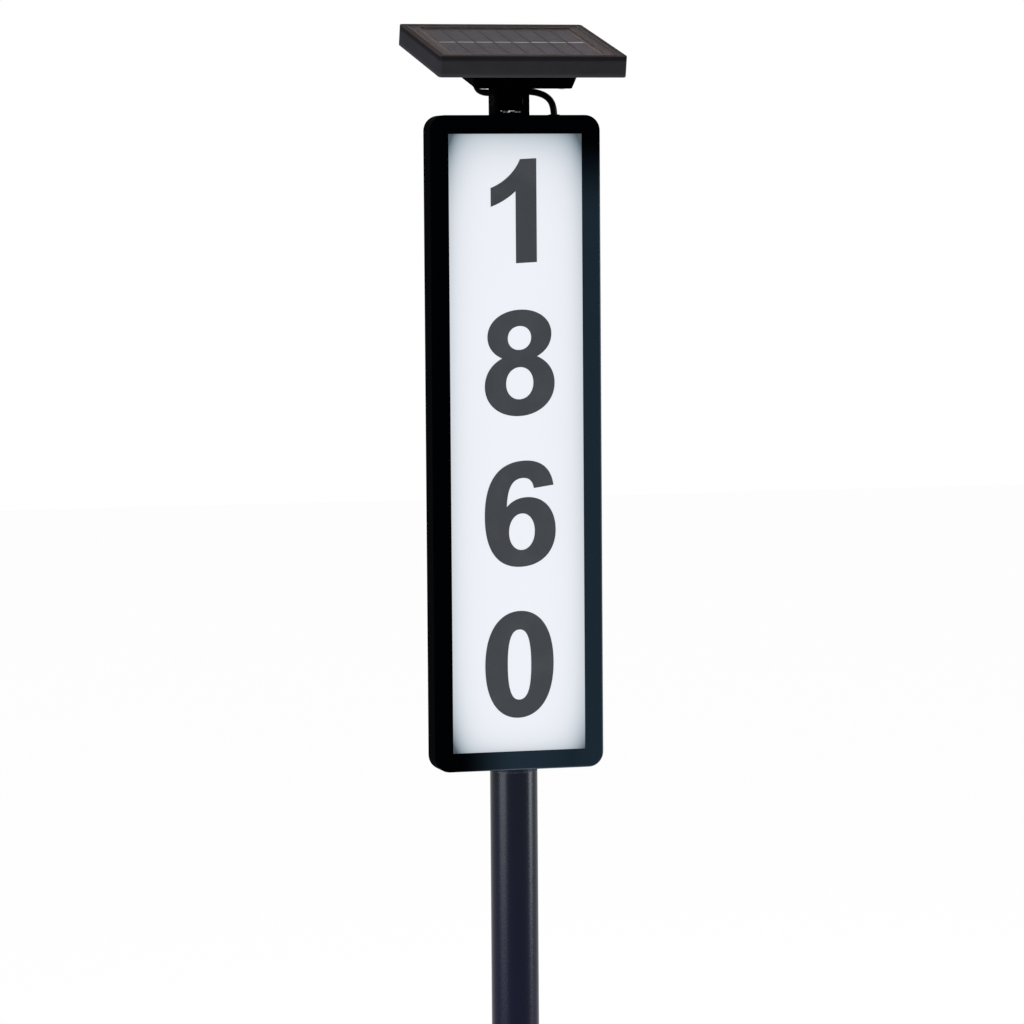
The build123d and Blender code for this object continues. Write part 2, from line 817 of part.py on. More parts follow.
# ---------------------------------------------------------------- yoke and tilt pivot
cheek_inside = yoke_width / 2 - yoke_cheek
side_plane = Plane((-yoke_width / 2, 0, pivot_z), x_dir=(0, 1, 0), z_dir=(1, 0, 0))
with BuildPart() as yoke:
    with BuildSketch(side_plane):
        Circle(yoke_top_radius)
        with Locations((0, -pivot_height)):
            Rectangle(yoke_depth, pivot_height + yoke_top, align=(Align.CENTER, Align.MIN), mode=Mode.INTERSECT)
            Rectangle(yoke_depth, pivot_height, align=(Align.CENTER, Align.MIN))
    extrude(amount=yoke_width)
    with BuildSketch(side_plane.offset(yoke_cheek)):
        with Locations((0, yoke_floor - pivot_height)):
            Rectangle(2 * yoke_depth, 2 * yoke_depth, align=(Align.CENTER, Align.MIN))
    extrude(amount=yoke_width - 2 * yoke_cheek, mode=Mode.SUBTRACT)
    drill(side_plane.offset(yoke_width), [(0, 0)], pivot_radius + hole_gap, yoke_width)
    with BuildSketch(side_plane):
        Circle(pivot_head_radius + hole_gap)
    extrude(amount=pivot_head_radius - pivot_radius, taper=45, mode=Mode.SUBTRACT)
    with BuildSketch(side_plane.offset(yoke_width - pivot_nut_thickness)):
        RegularPolygon(pivot_nut_flats / 2 + hole_gap, 6, major_radius=False)
    extrude(amount=pivot_nut_thickness, mode=Mode.SUBTRACT)
    drill(sign_roof.offset(yoke_floor), yoke_screw_points, yoke_screw_radius + hole_gap, yoke_floor)
save(yoke, "yoke")

yoke_screws = pan_screws(
    sign_roof.offset(yoke_floor),
    yoke_screw_points,
    yoke_screw_radius,
    yoke_floor + bezel_wall + stiffener_thickness,
    yoke_screw_head_radius,
    yoke_screw_head,
)
save(yoke_screws, "yoke_screws")

with BuildPart() as tilt_bolt:
    with BuildSketch(side_plane):
        Circle(pivot_head_radius)
    extrude(amount=pivot_head_radius - pivot_radius, taper=45)
    with BuildSketch(side_plane):
        Circle(pivot_radius)
    extrude(amount=yoke_width)
    with BuildSketch(side_plane):
        RegularPolygon(pivot_socket_flats / 2, 6, major_radius=False)
    extrude(amount=pivot_socket, mode=Mode.SUBTRACT)
save(tilt_bolt, "tilt_bolt")

with BuildPart() as tilt_nut:
    with BuildSketch(side_plane.offset(yoke_width - pivot_nut_thickness)):
        RegularPolygon(pivot_nut_flats / 2, 6, major_radius=False)
        Circle(pivot_radius + pivot_gap, mode=Mode.SUBTRACT)
    extrude(amount=pivot_nut_thickness)
save(tilt_nut, "tilt_nut")

with BuildPart() as friction_washers:
    for start in (yoke_cheek, yoke_width - yoke_cheek - washer_thickness):
        with BuildSketch(side_plane.offset(start)):
            Circle(washer_radius)
            Circle(pivot_radius + hole_gap, mode=Mode.SUBTRACT)
        extrude(amount=washer_thickness)
save(friction_washers, "friction_washers")

# ---------------------------------------------------------------- solar head, on planes square to the panel
head = Plane(
    (0, 0, pivot_z),
    x_dir=(1, 0, 0),
    z_dir=(0, -sin(radians(panel_tilt)), cos(radians(panel_tilt))),
)
head_up = Axis(head.origin, head.z_dir)
box_bottom = head.offset(knuckle_height)
box_top = box_bottom.offset(box_height)
gland_neck = lead_diameter / 2 + gland_wall
panel_top = box_top.offset(panel_thickness)
knuckle_half = yoke_width / 2 - yoke_cheek - washer_thickness - moving_gap
knuckle_side = Plane(head.from_local_coords((-knuckle_half, 0, 0)), x_dir=head.y_dir, z_dir=(1, 0, 0))
knuckle_screw_points = corners_of(
    knuckle_plate_x - 2 * knuckle_screw_edge,
    knuckle_plate_y - 2 * knuckle_screw_edge,
)

with BuildPart() as tilt_knuckle:
    with BuildSketch(knuckle_side):
        Circle(knuckle_radius)
        with Locations((0, knuckle_height / 2)):
            Rectangle(2 * knuckle_radius, knuckle_height)
    extrude(amount=2 * knuckle_half)
    with BuildSketch(box_bottom):
        RectangleRounded(knuckle_plate_x, knuckle_plate_y, knuckle_plate_corner)
    extrude(amount=-knuckle_plate)
    drill(knuckle_side.offset(2 * knuckle_half), [(0, 0)], pivot_radius + pivot_gap, 2 * knuckle_half)
    drill(box_bottom, knuckle_screw_points, knuckle_screw_radius + hole_gap, knuckle_plate)
save(tilt_knuckle, "tilt_knuckle")

box_middle = (box_shift, 0)
box_screw_points = [
    (box_shift + x, y)
    for x, y in corners_of(box_width - 2 * box_screw_inset, box_depth - 2 * box_screw_inset)
]
box_floor = box_bottom.offset(box_wall)
with BuildPart() as junction_box:
    with BuildSketch(box_bottom):
        with Locations(box_middle):
            RectangleRounded(box_width, box_depth, box_corner)
    with BuildSketch(box_top):
        with Locations(box_middle):
            RectangleRounded(box_width + 2 * box_draft, box_depth + 2 * box_draft, box_top_corner)
    loft(ruled=True)
    with BuildSketch(box_floor):
        with Locations(box_middle):
            Rectangle(box_width - 2 * box_wall, box_depth - 2 * box_wall)
        with Locations(*box_screw_points):
            Circle(box_post_radius, mode=Mode.SUBTRACT)
    extrude(amount=box_height - box_wall, mode=Mode.SUBTRACT)
    drill(box_floor, knuckle_screw_points, knuckle_screw_radius + hole_gap, box_wall)
    drill(box_floor, [(gland_x, gland_y)], gland_neck + hole_gap, box_wall)
    drill(box_top, box_screw_points, box_screw_radius + hole_gap, box_height)
save(junction_box, "junction_box")

knuckle_screws = pan_screws(
    box_floor,
    knuckle_screw_points,
    knuckle_screw_radius,
    box_wall + knuckle_plate,
    knuckle_screw_head_radius,
    knuckle_screw_head,
)
save(knuckle_screws, "knuckle_screws")

terminal_posts = [
    (terminal_board_shift + x, y)
    for x, y in corners_of(terminal_board_x - terminal_post_edge, terminal_board_y - terminal_post_edge)
]
with BuildPart() as terminal_board:
    with BuildSketch(box_floor.offset(terminal_board_lift)):
        with Locations((terminal_board_shift, 0)):
            Rectangle(terminal_board_x, terminal_board_y)
    extrude(amount=board_thickness)
    with BuildSketch(box_floor):
        with Locations(*terminal_posts):
            Circle(terminal_post_radius)
    extrude(amount=terminal_board_lift)
    with BuildSketch(box_floor.offset(terminal_board_lift + board_thickness)):
        with Locations((terminal_board_shift, 0)):
            with GridLocations(terminal_block_pitch, 0, 3, 1):
                Rectangle(terminal_block[0], terminal_block[1])
    extrude(amount=terminal_block[2])
save(terminal_board, "terminal_board")

# The gland's nut is under the box and its collar inside, with the neck through the box's floor.
with BuildPart() as lead_gland:
    with BuildSketch(box_bottom):
        with Locations((gland_x, gland_y)):
            Circle(gland_radius)
    extrude(amount=-gland_length)
    fillet(lead_gland.faces().sort_by(head_up)[0].edges(), gland_edge_round)
    with BuildSketch(box_bottom):
        with Locations((gland_x, gland_y)):
            Circle(gland_neck)
    extrude(amount=box_wall + gland_thread)
    with BuildSketch(box_floor):
        with Locations((gland_x, gland_y)):
            RegularPolygon(gland_radius, 6)
    extrude(amount=gland_nut)
    drill(
        box_floor.offset(gland_thread),
        [(gland_x, gland_y)],
        lead_diameter / 2 + hole_gap,
        gland_length + box_wall + gland_thread,
    )
save(lead_gland, "lead_gland")

glass_top = panel_top.offset(-glass_step)
laminate_top = glass_top.offset(-glass_thickness)
seat = laminate_top.offset(-laminate_thickness)
sheet_width = panel_width - 2 * panel_rim
sheet_depth = panel_depth - 2 * panel_rim
tray_floor = box_top.offset(panel_floor)
tray_depth = panel_thickness - glass_step - glass_thickness - laminate_thickness - panel_floor
with BuildPart() as panel_frame:
    with BuildSketch(box_top):
        RectangleRounded(panel_width, panel_depth, panel_corner)
    extrude(amount=panel_thickness)
    fillet(panel_frame.faces().sort_by(head_up)[-1].edges(), panel_top_round)
    fillet(panel_frame.faces().sort_by(head_up)[0].edges(), panel_under_round)
    with BuildSketch(seat):
        Rectangle(sheet_width, sheet_depth)
    extrude(amount=glass_step + glass_thickness + laminate_thickness, mode=Mode.SUBTRACT)
    with BuildSketch(tray_floor):
        Rectangle(sheet_width - 2 * seat_ledge, sheet_depth - 2 * seat_ledge)
        Rectangle(tray_rib, sheet_depth, mode=Mode.SUBTRACT)
        Rectangle(sheet_width, tray_rib, mode=Mode.SUBTRACT)
    extrude(amount=tray_depth, mode=Mode.SUBTRACT)
    drill(tray_floor, [(tray_hole, tray_hole)], wire_hole, panel_floor)
    drill(tray_floor, box_screw_points, box_screw_radius + hole_gap, panel_floor)
save(panel_frame, "panel_frame")

box_under = Plane(box_bottom.origin, x_dir=box_bottom.x_dir, z_dir=-box_bottom.z_dir)
box_screws = pan_screws(
    box_under,
    box_screw_points,
    box_screw_radius,
    box_height + panel_floor,
    box_screw_head_radius,
    box_screw_head,
)
save(box_screws, "box_screws")

with BuildPart() as solar_laminate:
    with BuildSketch(seat):
        Rectangle(sheet_width - 2 * edge_gap, sheet_depth - 2 * edge_gap)
    extrude(amount=laminate_thickness)
save(solar_laminate, "solar_laminate")

cell_column_pitch = (cell_field_width + cell_line) / cell_columns
with BuildPart() as solar_cells:
    with BuildSketch(laminate_top):
        with GridLocations(cell_column_pitch, 0, cell_columns, 1):
            Rectangle(cell_column_pitch - cell_line, cell_field_depth)
    extrude(amount=solar_cell_thickness)
save(solar_cells, "solar_cells")

with BuildPart() as bus_ribbons:
    with BuildSketch(laminate_top.offset(solar_cell_thickness)):
        with GridLocations(cell_column_pitch, 0, cell_columns, 1):
            Rectangle(cell_column_pitch - ribbon_break, ribbon_width)
    extrude(amount=ribbon_thickness)
save(bus_ribbons, "bus_ribbons")

with BuildPart() as cover_glass:
    with BuildSketch(laminate_top):
        Rectangle(sheet_width - 2 * edge_gap, sheet_depth - 2 * edge_gap)
    extrude(amount=glass_thickness)
    with BuildSketch(laminate_top):
        Rectangle(cell_field_width + 2 * glass_pocket_edge, cell_field_depth + 2 * glass_pocket_edge)
    extrude(amount=glass_pocket, mode=Mode.SUBTRACT)
save(cover_glass, "cover_glass")

# ---------------------------------------------------------------- leads
with BuildPart() as lead_grommet:
    with BuildSketch(sign_roof):
        with Locations((grommet_x, grommet_y)):
            Circle(grommet_radius)
    extrude(amount=grommet_lip)
    with BuildSketch(sign_roof):
        with Locations((grommet_x, grommet_y)):
            Circle(grommet_neck)
    extrude(amount=-bezel_wall)
    with BuildSketch(sign_ceiling):
        with Locations((grommet_x, grommet_y)):
            Circle(grommet_radius)
    extrude(amount=-grommet_lip)
    drill(
        sign_roof.offset(grommet_lip),
        [(grommet_x, grommet_y)],
        lead_diameter / 2 + hole_gap,
        bezel_wall + 2 * grommet_lip,
    )
save(lead_grommet, "lead_grommet")


def lead(route, diameter, name):
    """A round lead along straight runs that are joined by arcs, as large as the runs allow."""
    runs = [after - before for before, after in zip(route, route[1:])]
    radii = []
    for run, after in zip(runs, runs[1:]):
        half_turn = radians(run.get_angle(after)) / 2
        radii.append(bend_share * min(run.length, after.length) / tan(half_turn))
    with BuildPart() as tube:
        with BuildLine():
            path = FilletPolyline(*route, radius=radii)
        with BuildSketch(Plane(origin=path @ 0, z_dir=path % 0)):
            Circle(diameter / 2)
        sweep()
    wanted = pi * diameter**2 / 4 * path.length
    print(name, "length", round(path.length, 1), "radii", [round(r, 1) for r in radii])
    print(name, "volume over section x length", round(tube.part.volume / wanted, 4))
    save(tube, name)


# The outer lead stands up from the grommet, bends behind the yoke and rises along the gland's axis.
outer_points = [
    (grommet_x, grommet_y, -lead_meeting),
    (grommet_x, grommet_y, 8.8),
    (44.3, 17.0, 18.6),
    (32.5, 22.0, 23.6),
    (13.0, 24.8, 24.2),
    (-5.0, 25.0, 22.8),
    (-19.7, 25.0, 22.4),
]
gland_corner = box_bottom.from_local_coords((gland_x, gland_y, -gland_length - gland_run))
lead_end = box_bottom.from_local_coords((gland_x, gland_y, lead_in_gland - gland_length))
outer_route = [*[Vector(x, y, sign_top + z) for x, y, z in outer_points], gland_corner, lead_end]
lead(outer_route, lead_diameter, "panel_lead")


def strung(start, leave, arrive, end, swing, bends):
    """A route that leaves start and reaches end along two straight runs.

    Each bend is a share of the way between those runs, and shares of the swing in x and y off that way.
    """
    first = Vector(*start) + Vector(*leave)
    last = Vector(*end) - Vector(*arrive)
    way = last - first
    between = [first + way * share + Vector(x * swing[0], y * swing[1], 0) for share, x, y in bends]
    return [Vector(*start), first, *between, last, Vector(*end)]


# Ends and rooms that the inner leads share
board_top = board_centre + terminal_above + terminal_size[1] / 2
board_low = board_centre - terminal_below - terminal_size[1] / 2
terminal_y = standoff_height + board_thickness + terminal_size[2] / 2 - flange_front
side_room = raised_width / 2 - bezel_wall - grommet_x

solar_route = strung(
    (grommet_x, grommet_y, sign_top - lead_meeting),
    (0, 0, -solar_lead_top),
    (0, 0, -solar_lead_foot),
    (terminal_x, terminal_y, sign_middle + board_top),
    (side_room, solar_lift),
    [(0.17, 0.3, 0.1), (0.36, 0.79, 0.2), (0.56, 1.11, 0.4), (0.75, 1.12, 0.9), (0.9, 0.62, 0.5)],
)
light_route = strung(
    (-terminal_x, terminal_y, sign_middle + board_low),
    (0, 0, -light_lead_top),
    (0, -light_lead_foot, 0),
    (0, -reflector_front, sign_middle - wire_hole_z),
    (light_swing, light_lift),
    [
        (0.14, -0.6, 0.24),
        (0.36, -1.0, 0.64),
        (0.59, -1.02, 0.92),
        (0.79, -0.58, 1.02),
        (0.91, -0.2, 0.96),
        (0.97, -0.02, 0.6),
    ],
)
battery_route = strung(
    (battery_lead_x, battery_lead_y, sign_middle + battery_centre + pack_height / 2),
    (0, 0, battery_lead_run),
    (0, 0, battery_lead_run),
    (terminal_x, terminal_y, sign_middle + board_low),
    (battery_swing, battery_lift),
    [(0.5, -1, -1)],
)
switch_route = strung(
    (0, -back_outside - switch_length, sign_middle + switch_centre),
    (0, -switch_lead_run, 0),
    (0, 0, switch_lead_top),
    (switch_lead_x, switch_lead_y, sign_middle + battery_centre - pack_height / 2),
    (switch_swing, switch_lift),
    [(0.12, -0.8, -1.0), (0.3, -1.0, -0.7), (0.63, -0.9, -0.14)],
)
lead(solar_route, inner_lead_diameter, "solar_lead_inside")
lead(light_route, inner_lead_diameter, "light_lead")
lead(battery_route, inner_lead_diameter, "battery_lead")
lead(switch_route, inner_lead_diameter, "switch_lead")
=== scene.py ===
from math import cos, pi, radians, sin

import bpy
from mathutils import Euler, Matrix, Vector


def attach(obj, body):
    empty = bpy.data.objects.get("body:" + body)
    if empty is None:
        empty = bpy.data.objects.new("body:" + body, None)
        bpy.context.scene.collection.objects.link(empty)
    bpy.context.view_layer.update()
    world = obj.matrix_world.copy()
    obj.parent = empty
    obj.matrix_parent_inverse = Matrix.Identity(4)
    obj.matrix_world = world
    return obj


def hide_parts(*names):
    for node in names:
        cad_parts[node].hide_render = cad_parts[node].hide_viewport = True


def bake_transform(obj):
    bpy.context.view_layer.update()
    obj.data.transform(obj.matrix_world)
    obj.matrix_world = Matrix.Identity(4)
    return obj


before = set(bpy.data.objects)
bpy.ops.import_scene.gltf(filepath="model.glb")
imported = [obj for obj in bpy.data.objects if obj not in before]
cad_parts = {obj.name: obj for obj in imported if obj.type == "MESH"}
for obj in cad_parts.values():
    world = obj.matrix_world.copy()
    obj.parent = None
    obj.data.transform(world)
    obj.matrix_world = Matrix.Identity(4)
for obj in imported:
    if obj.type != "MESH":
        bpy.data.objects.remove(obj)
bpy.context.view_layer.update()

# ------------------------------------------------------------------ camera
# A long lens, 15 degrees to the left of the lit face and a little above its middle, looking
# slightly down. The photograph leans by less than half a degree, which is this camera's roll.
view_turn, view_drop, view_roll = radians(15.25), radians(4.01), radians(-0.41)
aim = Vector((-0.0091, -0.0339, 0.9559))
camera_distance = 4.209
ahead = Vector(
    (sin(view_turn) * cos(view_drop), cos(view_turn) * cos(view_drop), -sin(view_drop))
)
level_right = ahead.cross(Vector((0, 0, 1))).normalized()
level_up = level_right.cross(ahead)
camera_right = level_right * cos(view_roll) + level_up * sin(view_roll)
camera_up = level_up * cos(view_roll) - level_right * sin(view_roll)
camera_data = bpy.data.cameras.new("camera")
camera_data.sensor_width = 36
camera_data.lens = 152.86
camera = bpy.data.objects.new("camera", camera_data)
turn = Matrix((camera_right, camera_up, -ahead)).transposed()
camera.matrix_world = Matrix.Translation(aim - ahead * camera_distance) @ turn.to_4x4()
bpy.context.scene.collection.objects.link(camera)
bpy.context.scene.camera = camera
bpy.context.scene.view_settings.view_transform = "Standard"

# ------------------------------------------------------------------ lead from the solar head
# A round lead in a soft black jacket. It leaves the junction box through a gland, hangs behind the
# yoke, rises a little and drops into a grommet in the sign's top.
sign_top = 1.339
lead_diameter = 0.0066
lead_route = [  # x, y and the height above the sign's top
    (-0.0272, 0.0225, 0.0376),
    (-0.0272, 0.0246, 0.0284),
    (-0.0197, 0.0250, 0.0224),
    (-0.0050, 0.0250, 0.0228),
    (0.0130, 0.0248, 0.0242),
    (0.0325, 0.0220, 0.0236),
    (0.0443, 0.0170, 0.0186),
    (0.0490, 0.0130, 0.0088),
    (0.0490, 0.0130, -0.0012),
]


class Tone:
    """One output of the nodes of a finish or a shape. Arithmetic on it adds Math nodes."""

    def __init__(self, socket, owner):
        self.socket = socket
        self.owner = owner
        self.tree = getattr(owner, "node_tree", None) or owner

    def node(self, kind, inputs=(), out=0, **settings):
        """Adds a node of any kind: its settings first, then its inputs by name or number."""
        made = self.tree.nodes.new(kind)
        for name, value in settings.items():
            setattr(made, name, value)
        for name, value in dict(inputs).items():
            for single in value if isinstance(value, list) else [value]:
                if isinstance(single, Tone):
                    self.tree.links.new(single.socket, made.inputs[name])
                else:
                    made.inputs[name].default_value = single
        return Tone(made.outputs[out] if len(made.outputs) else None, self.owner)

    def maths(self, operation, first, second=0.0):
        return self.node("ShaderNodeMath", {0: first, 1: second}, operation=operation)

    def __add__(self, other):
        return self.maths("ADD", self, other)

    def __sub__(self, other):
        return self.maths("SUBTRACT", self, other)

    def __rsub__(self, other):
        return self.maths("SUBTRACT", other, self)

    def __mul__(self, other):
        return self.maths("MULTIPLY", self, other)

    def __truediv__(self, other):
        return self.maths("DIVIDE", self, other)

    def __pow__(self, other):
        return self.maths("POWER", self, other)

    def __abs__(self):
        return self.maths("ABSOLUTE", self)

    __radd__ = __add__
    __rmul__ = __mul__

    def most(self, other):
        return self.maths("MAXIMUM", self, other)

    def fading(self, length):
        """1 at zero, falling off over that length."""
        return self.maths("EXPONENT", self / -length)

    def rise(self, low, high):
        """0 below low and 1 above high, with a soft change between."""
        return self.node(
            "ShaderNodeMapRange",
            {"Value": self, "From Min": low, "From Max": high},
            interpolation_type="SMOOTHSTEP",
        )

    def part(self, axis):
        """How far a place lies along X, Y or Z."""
        return self.node("ShaderNodeSeparateXYZ", {"Vector": self}, out=axis)

    def along(self, direction):
        """How far a place lies along any direction."""
        return self.node(
            "ShaderNodeVectorMath", {0: self, 1: direction}, out="Value", operation="DOT_PRODUCT"
        )

    def vector(self, x, y, z):
        return self.node("ShaderNodeCombineXYZ", {"X": x, "Y": y, "Z": z})

    def grain(self, scale, detail=3.0, stretch=(1, 1, 1)):
        """Soft random grain from 0 to 1. The scale is in grains per metre."""
        place = self.node("ShaderNodeVectorMath", {0: self, 1: stretch}, operation="MULTIPLY")
        return self.node(
            "ShaderNodeTexNoise", {"Vector": place, "Scale": scale, "Detail": detail}
        )

    def between(self, low, high):
        """A colour that goes from low to high as this goes from 0 to 1."""
        factor, low_colour, high_colour, result = 0, 6, 7, 2
        inputs = {factor: self, low_colour: low, high_colour: high}
        return self.node("ShaderNodeMix", inputs, out=result, data_type="RGBA")


def begin(name):
    """A new finish. What it gives is the place on the surface, in metres."""
    finish = bpy.data.materials.new(name)
    finish.use_nodes = True
    finish.node_tree.nodes.clear()
    return Tone(None, finish).node("ShaderNodeTexCoord", out="Object")


def coat(place, colour, roughness, relief=None, depth=0.0001, **sockets):
    """Ends a finish in one shader, with its relief as a bump of that depth in metres."""
    inputs = {"Base Color": colour, "Roughness": roughness}
    inputs.update({name.replace("_", " "): value for name, value in sockets.items()})
    if relief is not None:
        inputs["Normal"] = place.node("ShaderNodeBump", {"Height": relief, "Distance": depth})
    shader = place.node("ShaderNodeBsdfPrincipled", inputs)
    place.node("ShaderNodeOutputMaterial", {"Surface": shader})
    return place.owner


def moulded(name, colour, worn, roughness, grain, depth=0.00012, **sockets):
    """A moulded plastic, paint or rubber: blotches of a second colour and a fine grain."""
    place = begin(name)
    blotch = place.grain(35.0).rise(0.4, 0.72)
    fine = place.grain(grain, detail=2.0)
    return coat(
        place, blotch.between(colour, worn), roughness + fine * 0.12, fine, depth, **sockets
    )


def shown(name, mesh, body=None, stands_for=()):
    """Puts a finished mesh into the scene as a piece of the sign."""
    piece = bpy.data.objects.new(name, mesh)
    bpy.context.scene.collection.objects.link(piece)
    if body:
        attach(piece, body)
    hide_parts(*stands_for)
    return piece


lead_curve = bpy.data.curves.new("lead_curve", "CURVE")
lead_curve.dimensions = "3D"
lead_curve.resolution_u = 24
lead_line = lead_curve.splines.new("NURBS")
lead_line.points.add(len(lead_route) - 1)
for point, (x, y, height) in zip(lead_line.points, lead_route):
    point.co = (x, y, sign_top + height, 1)
lead_line.order_u = 3
lead_line.use_endpoint_u = True
lead_object = bpy.data.objects.new("lead_curve", lead_curve)
lead_path = [tuple(v.co) for v in bpy.data.meshes.new_from_object(lead_object).vertices]
lead_curve.bevel_depth = lead_diameter / 2
lead_curve.bevel_resolution = 8
lead_curve.use_fill_caps = True
lead_mesh = bpy.data.meshes.new_from_object(lead_object)
lead_mesh.polygons.foreach_set("use_smooth", [True] * len(lead_mesh.polygons))
lead_jacket = moulded(
    "lead_jacket",
    colour=(0.0015, 0.0014, 0.0013, 1),
    worn=(0.004, 0.0038, 0.0035, 1),
    roughness=0.24,
    grain=2600.0,
    depth=0.00003,
    Specular_IOR_Level=0.03,
)
lead_mesh.materials.clear()
lead_mesh.materials.append(lead_jacket)
lead_piece = shown("panel_lead_jacket", lead_mesh, stands_for=["panel_lead"])
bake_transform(lead_piece)

# ------------------------------------------------------------------ pole
# A round steel tube, powder coated in satin navy-black, with a plastic plug in its lower end and
# a cast aluminium coupler in its top, painted where it shows, that four bolts hold to the sign.
pole_top = 0.7
bluest_below, least_blue_above = 0.45, 0.72


def dress(finish, *nodes):
    """Gives CAD nodes a finish."""
    for name in nodes:
        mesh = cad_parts[name].data
        mesh.materials.clear()
        mesh.materials.append(finish)


place = begin("pole_paint")
low = 1 - place.part("Z").rise(bluest_below, least_blue_above)
peel = place.grain(900.0, detail=2.0)
hue = low.between((0.0002, 0.0014, 0.0058, 1), (0.0002, 0.0005, 0.0090, 1))
scuff = place.grain(60.0, detail=5.0, stretch=(1, 1, 0.15)).rise(0.66, 0.8) * 0.25
pole_paint = coat(
    place,
    colour=scuff.between(hue, (0.005, 0.007, 0.012, 1)),
    roughness=0.25 + peel * 0.06,
    relief=peel,
    depth=0.00003,
    Specular_IOR_Level=0.14,
)
dress(pole_paint, "pole")

black_plastic = moulded(
    "black_plastic",
    colour=(0.006, 0.006, 0.0066, 1),
    worn=(0.012, 0.012, 0.012, 1),
    roughness=0.48,
    grain=1800.0,
)
dress(black_plastic, "pole_end_plug", "battery_holder", "switch_body")

place = begin("coupler_finish")
skin = place.grain(500.0, detail=4.0)
painted = place.part("Z").rise(pole_top - 0.0001, pole_top + 0.0001)
bare = skin.between((0.50, 0.51, 0.52, 1), (0.66, 0.67, 0.68, 1))
coupler_finish = coat(
    place,
    colour=painted.between(bare, (0.0004, 0.0022, 0.0075, 1)),
    roughness=0.34 + skin * 0.2,
    relief=skin,
    depth=0.00008,
    Metallic=1 - painted,
    Specular_IOR_Level=0.14,
)
dress(coupler_finish, "pole_coupler")


def drawn_metal(name, dark, light, roughness, stretch):
    """A drawn, rolled or plated metal with fine lines along one axis."""
    place = begin(name)
    lines = place.grain(2200.0, detail=2.0, stretch=stretch)
    cloud = place.grain(90.0)
    return coat(
        place, cloud.between(dark, light), roughness + lines * 0.16, lines, 0.00003, Metallic=1.0
    )


stainless = drawn_metal(
    "stainless",
    dark=(0.52, 0.52, 0.52, 1),
    light=(0.68, 0.68, 0.67, 1),
    roughness=0.22,
    stretch=(1, 1, 0.1),
)
dress(stainless, "pole_bolts", "housing_screws", "rear_cover_screws")
dress(stainless, "knuckle_screws", "box_screws")
zinc_steel = drawn_metal(
    "zinc_steel",
    dark=(0.50, 0.51, 0.52, 1),
    light=(0.66, 0.66, 0.62, 1),
    roughness=0.3,
    stretch=(0.1, 1, 1),
)
dress(zinc_steel, "pole_mount_plate", "yoke_backing_plate", "tilt_nut", "switch_nut")

# ------------------------------------------------------------------ front frame
# One aluminium frame with round corners in a near black fine powder coat. A faint blue-grey sheen
# towards its lower right and a lighter line along its right and lower front edges are painted
# highlights in its colour. A thin rubber gasket seals the face behind its lip.
sign_middle = 1.021
sign_half_width, sign_half_height = 0.0851, 0.318
sign_front = -0.0235
painted_sheen_fades_from, painted_sheen_fades_to = 0.215, 0.295
foot_band_bottom, foot_band_top = -0.302, -0.285
place = begin("bezel_paint")
across = place.part("X") / sign_half_width
along = place.part("Z") - sign_middle
# Painted highlights: a blue-grey sheen over the right side and the foot band, and a lighter line
# along the right and lower front edges, all in the base colour.
up_the_side = 1 - along.rise(painted_sheen_fades_from, painted_sheen_fades_to)
sheen_on_right = across.rise(-0.1, 0.85) * up_the_side * 0.85
sheen_on_foot = 1 - along.rise(foot_band_bottom, foot_band_top)
sheen_on_foot = sheen_on_foot * across.rise(-0.7, -0.02) * (1 - across.rise(0.1, 0.95) * 0.4)
on_front = 1 - place.part("Y").rise(sign_front + 0.0004, sign_front + 0.0016)
foot_arris_highlight = 1 - along.rise(0.0005 - sign_half_height, 0.0015 - sign_half_height)
arris_highlight = across.rise(0.978, 0.992).most(foot_arris_highlight) * on_front
painted_sheen = sheen_on_right.most(sheen_on_foot) * on_front.most(0.25)
peel = place.grain(1300.0, detail=2.0)
paint_and_sheen_colour = painted_sheen.between((0.0002, 0.0003, 0.0005, 1), (0.0092, 0.0166, 0.0232, 1))
bezel_paint = coat(
    place,
    colour=(arris_highlight * painted_sheen).between(paint_and_sheen_colour, (0.075, 0.085, 0.1, 1)),
    roughness=0.56 + peel * 0.1,
    relief=peel,
    depth=0.00005,
    Specular_IOR_Level=0.001,
)
dress(bezel_paint, "front_bezel")
black_rubber = moulded(
    "black_rubber",
    colour=(0.004, 0.004, 0.004, 1),
    worn=(0.008, 0.008, 0.008, 1),
    roughness=0.6,
    grain=1500.0,
    Specular_IOR_Level=0.1,
)
dress(black_rubber, "face_gasket", "rear_cover_gasket", "lead_grommet")

# ------------------------------------------------------------------ lit face
# A sheet of opal acrylic, lit from behind by two rows of LEDs. It glows evenly and falls off to a
# bluish grey along its edges and most of all in its corners, the top right one before the others.
window_half_width, window_half_height = 0.067, 0.2999
side_reach, side_loss = 0.011, 0.27
top_reach, top_loss, top_loss_to_right = 0.018, 0.48, 0.1
foot_reach, foot_loss = 0.010, 0.28
corner_reach = 0.012
top_corner_reach, top_corner_loss, top_corner_loss_to_left = 0.030, 1.39, 0.02
foot_corner_reach, foot_corner_loss, foot_corner_loss_to_left = 0.026, 1.13, 0.24
place = begin("opal_acrylic")
x, z = place.part("X"), place.part("Z") - sign_middle
lean = x / window_half_width
to_side = (window_half_width - abs(x)).most(0.0)
to_top = (window_half_height - z).most(0.0)
to_foot = (window_half_height + z).most(0.0)
side_fade = 1 - to_side.fading(side_reach) * side_loss
top_fade = 1 - to_top.fading(top_reach) * (top_loss + lean * top_loss_to_right)
foot_fade = 1 - to_foot.fading(foot_reach) * foot_loss
in_top = to_top.fading(top_corner_reach) * (top_corner_loss - lean * top_corner_loss_to_left)
in_foot = to_foot.fading(foot_corner_reach) * (foot_corner_loss - lean * foot_corner_loss_to_left)
corner_fade = 1 - to_side.fading(corner_reach) * (in_top + in_foot)
cloud = 0.985 + place.grain(14.0, detail=2.0) * 0.03
glow = (side_fade * top_fade * foot_fade * corner_fade * cloud).most(0.05)
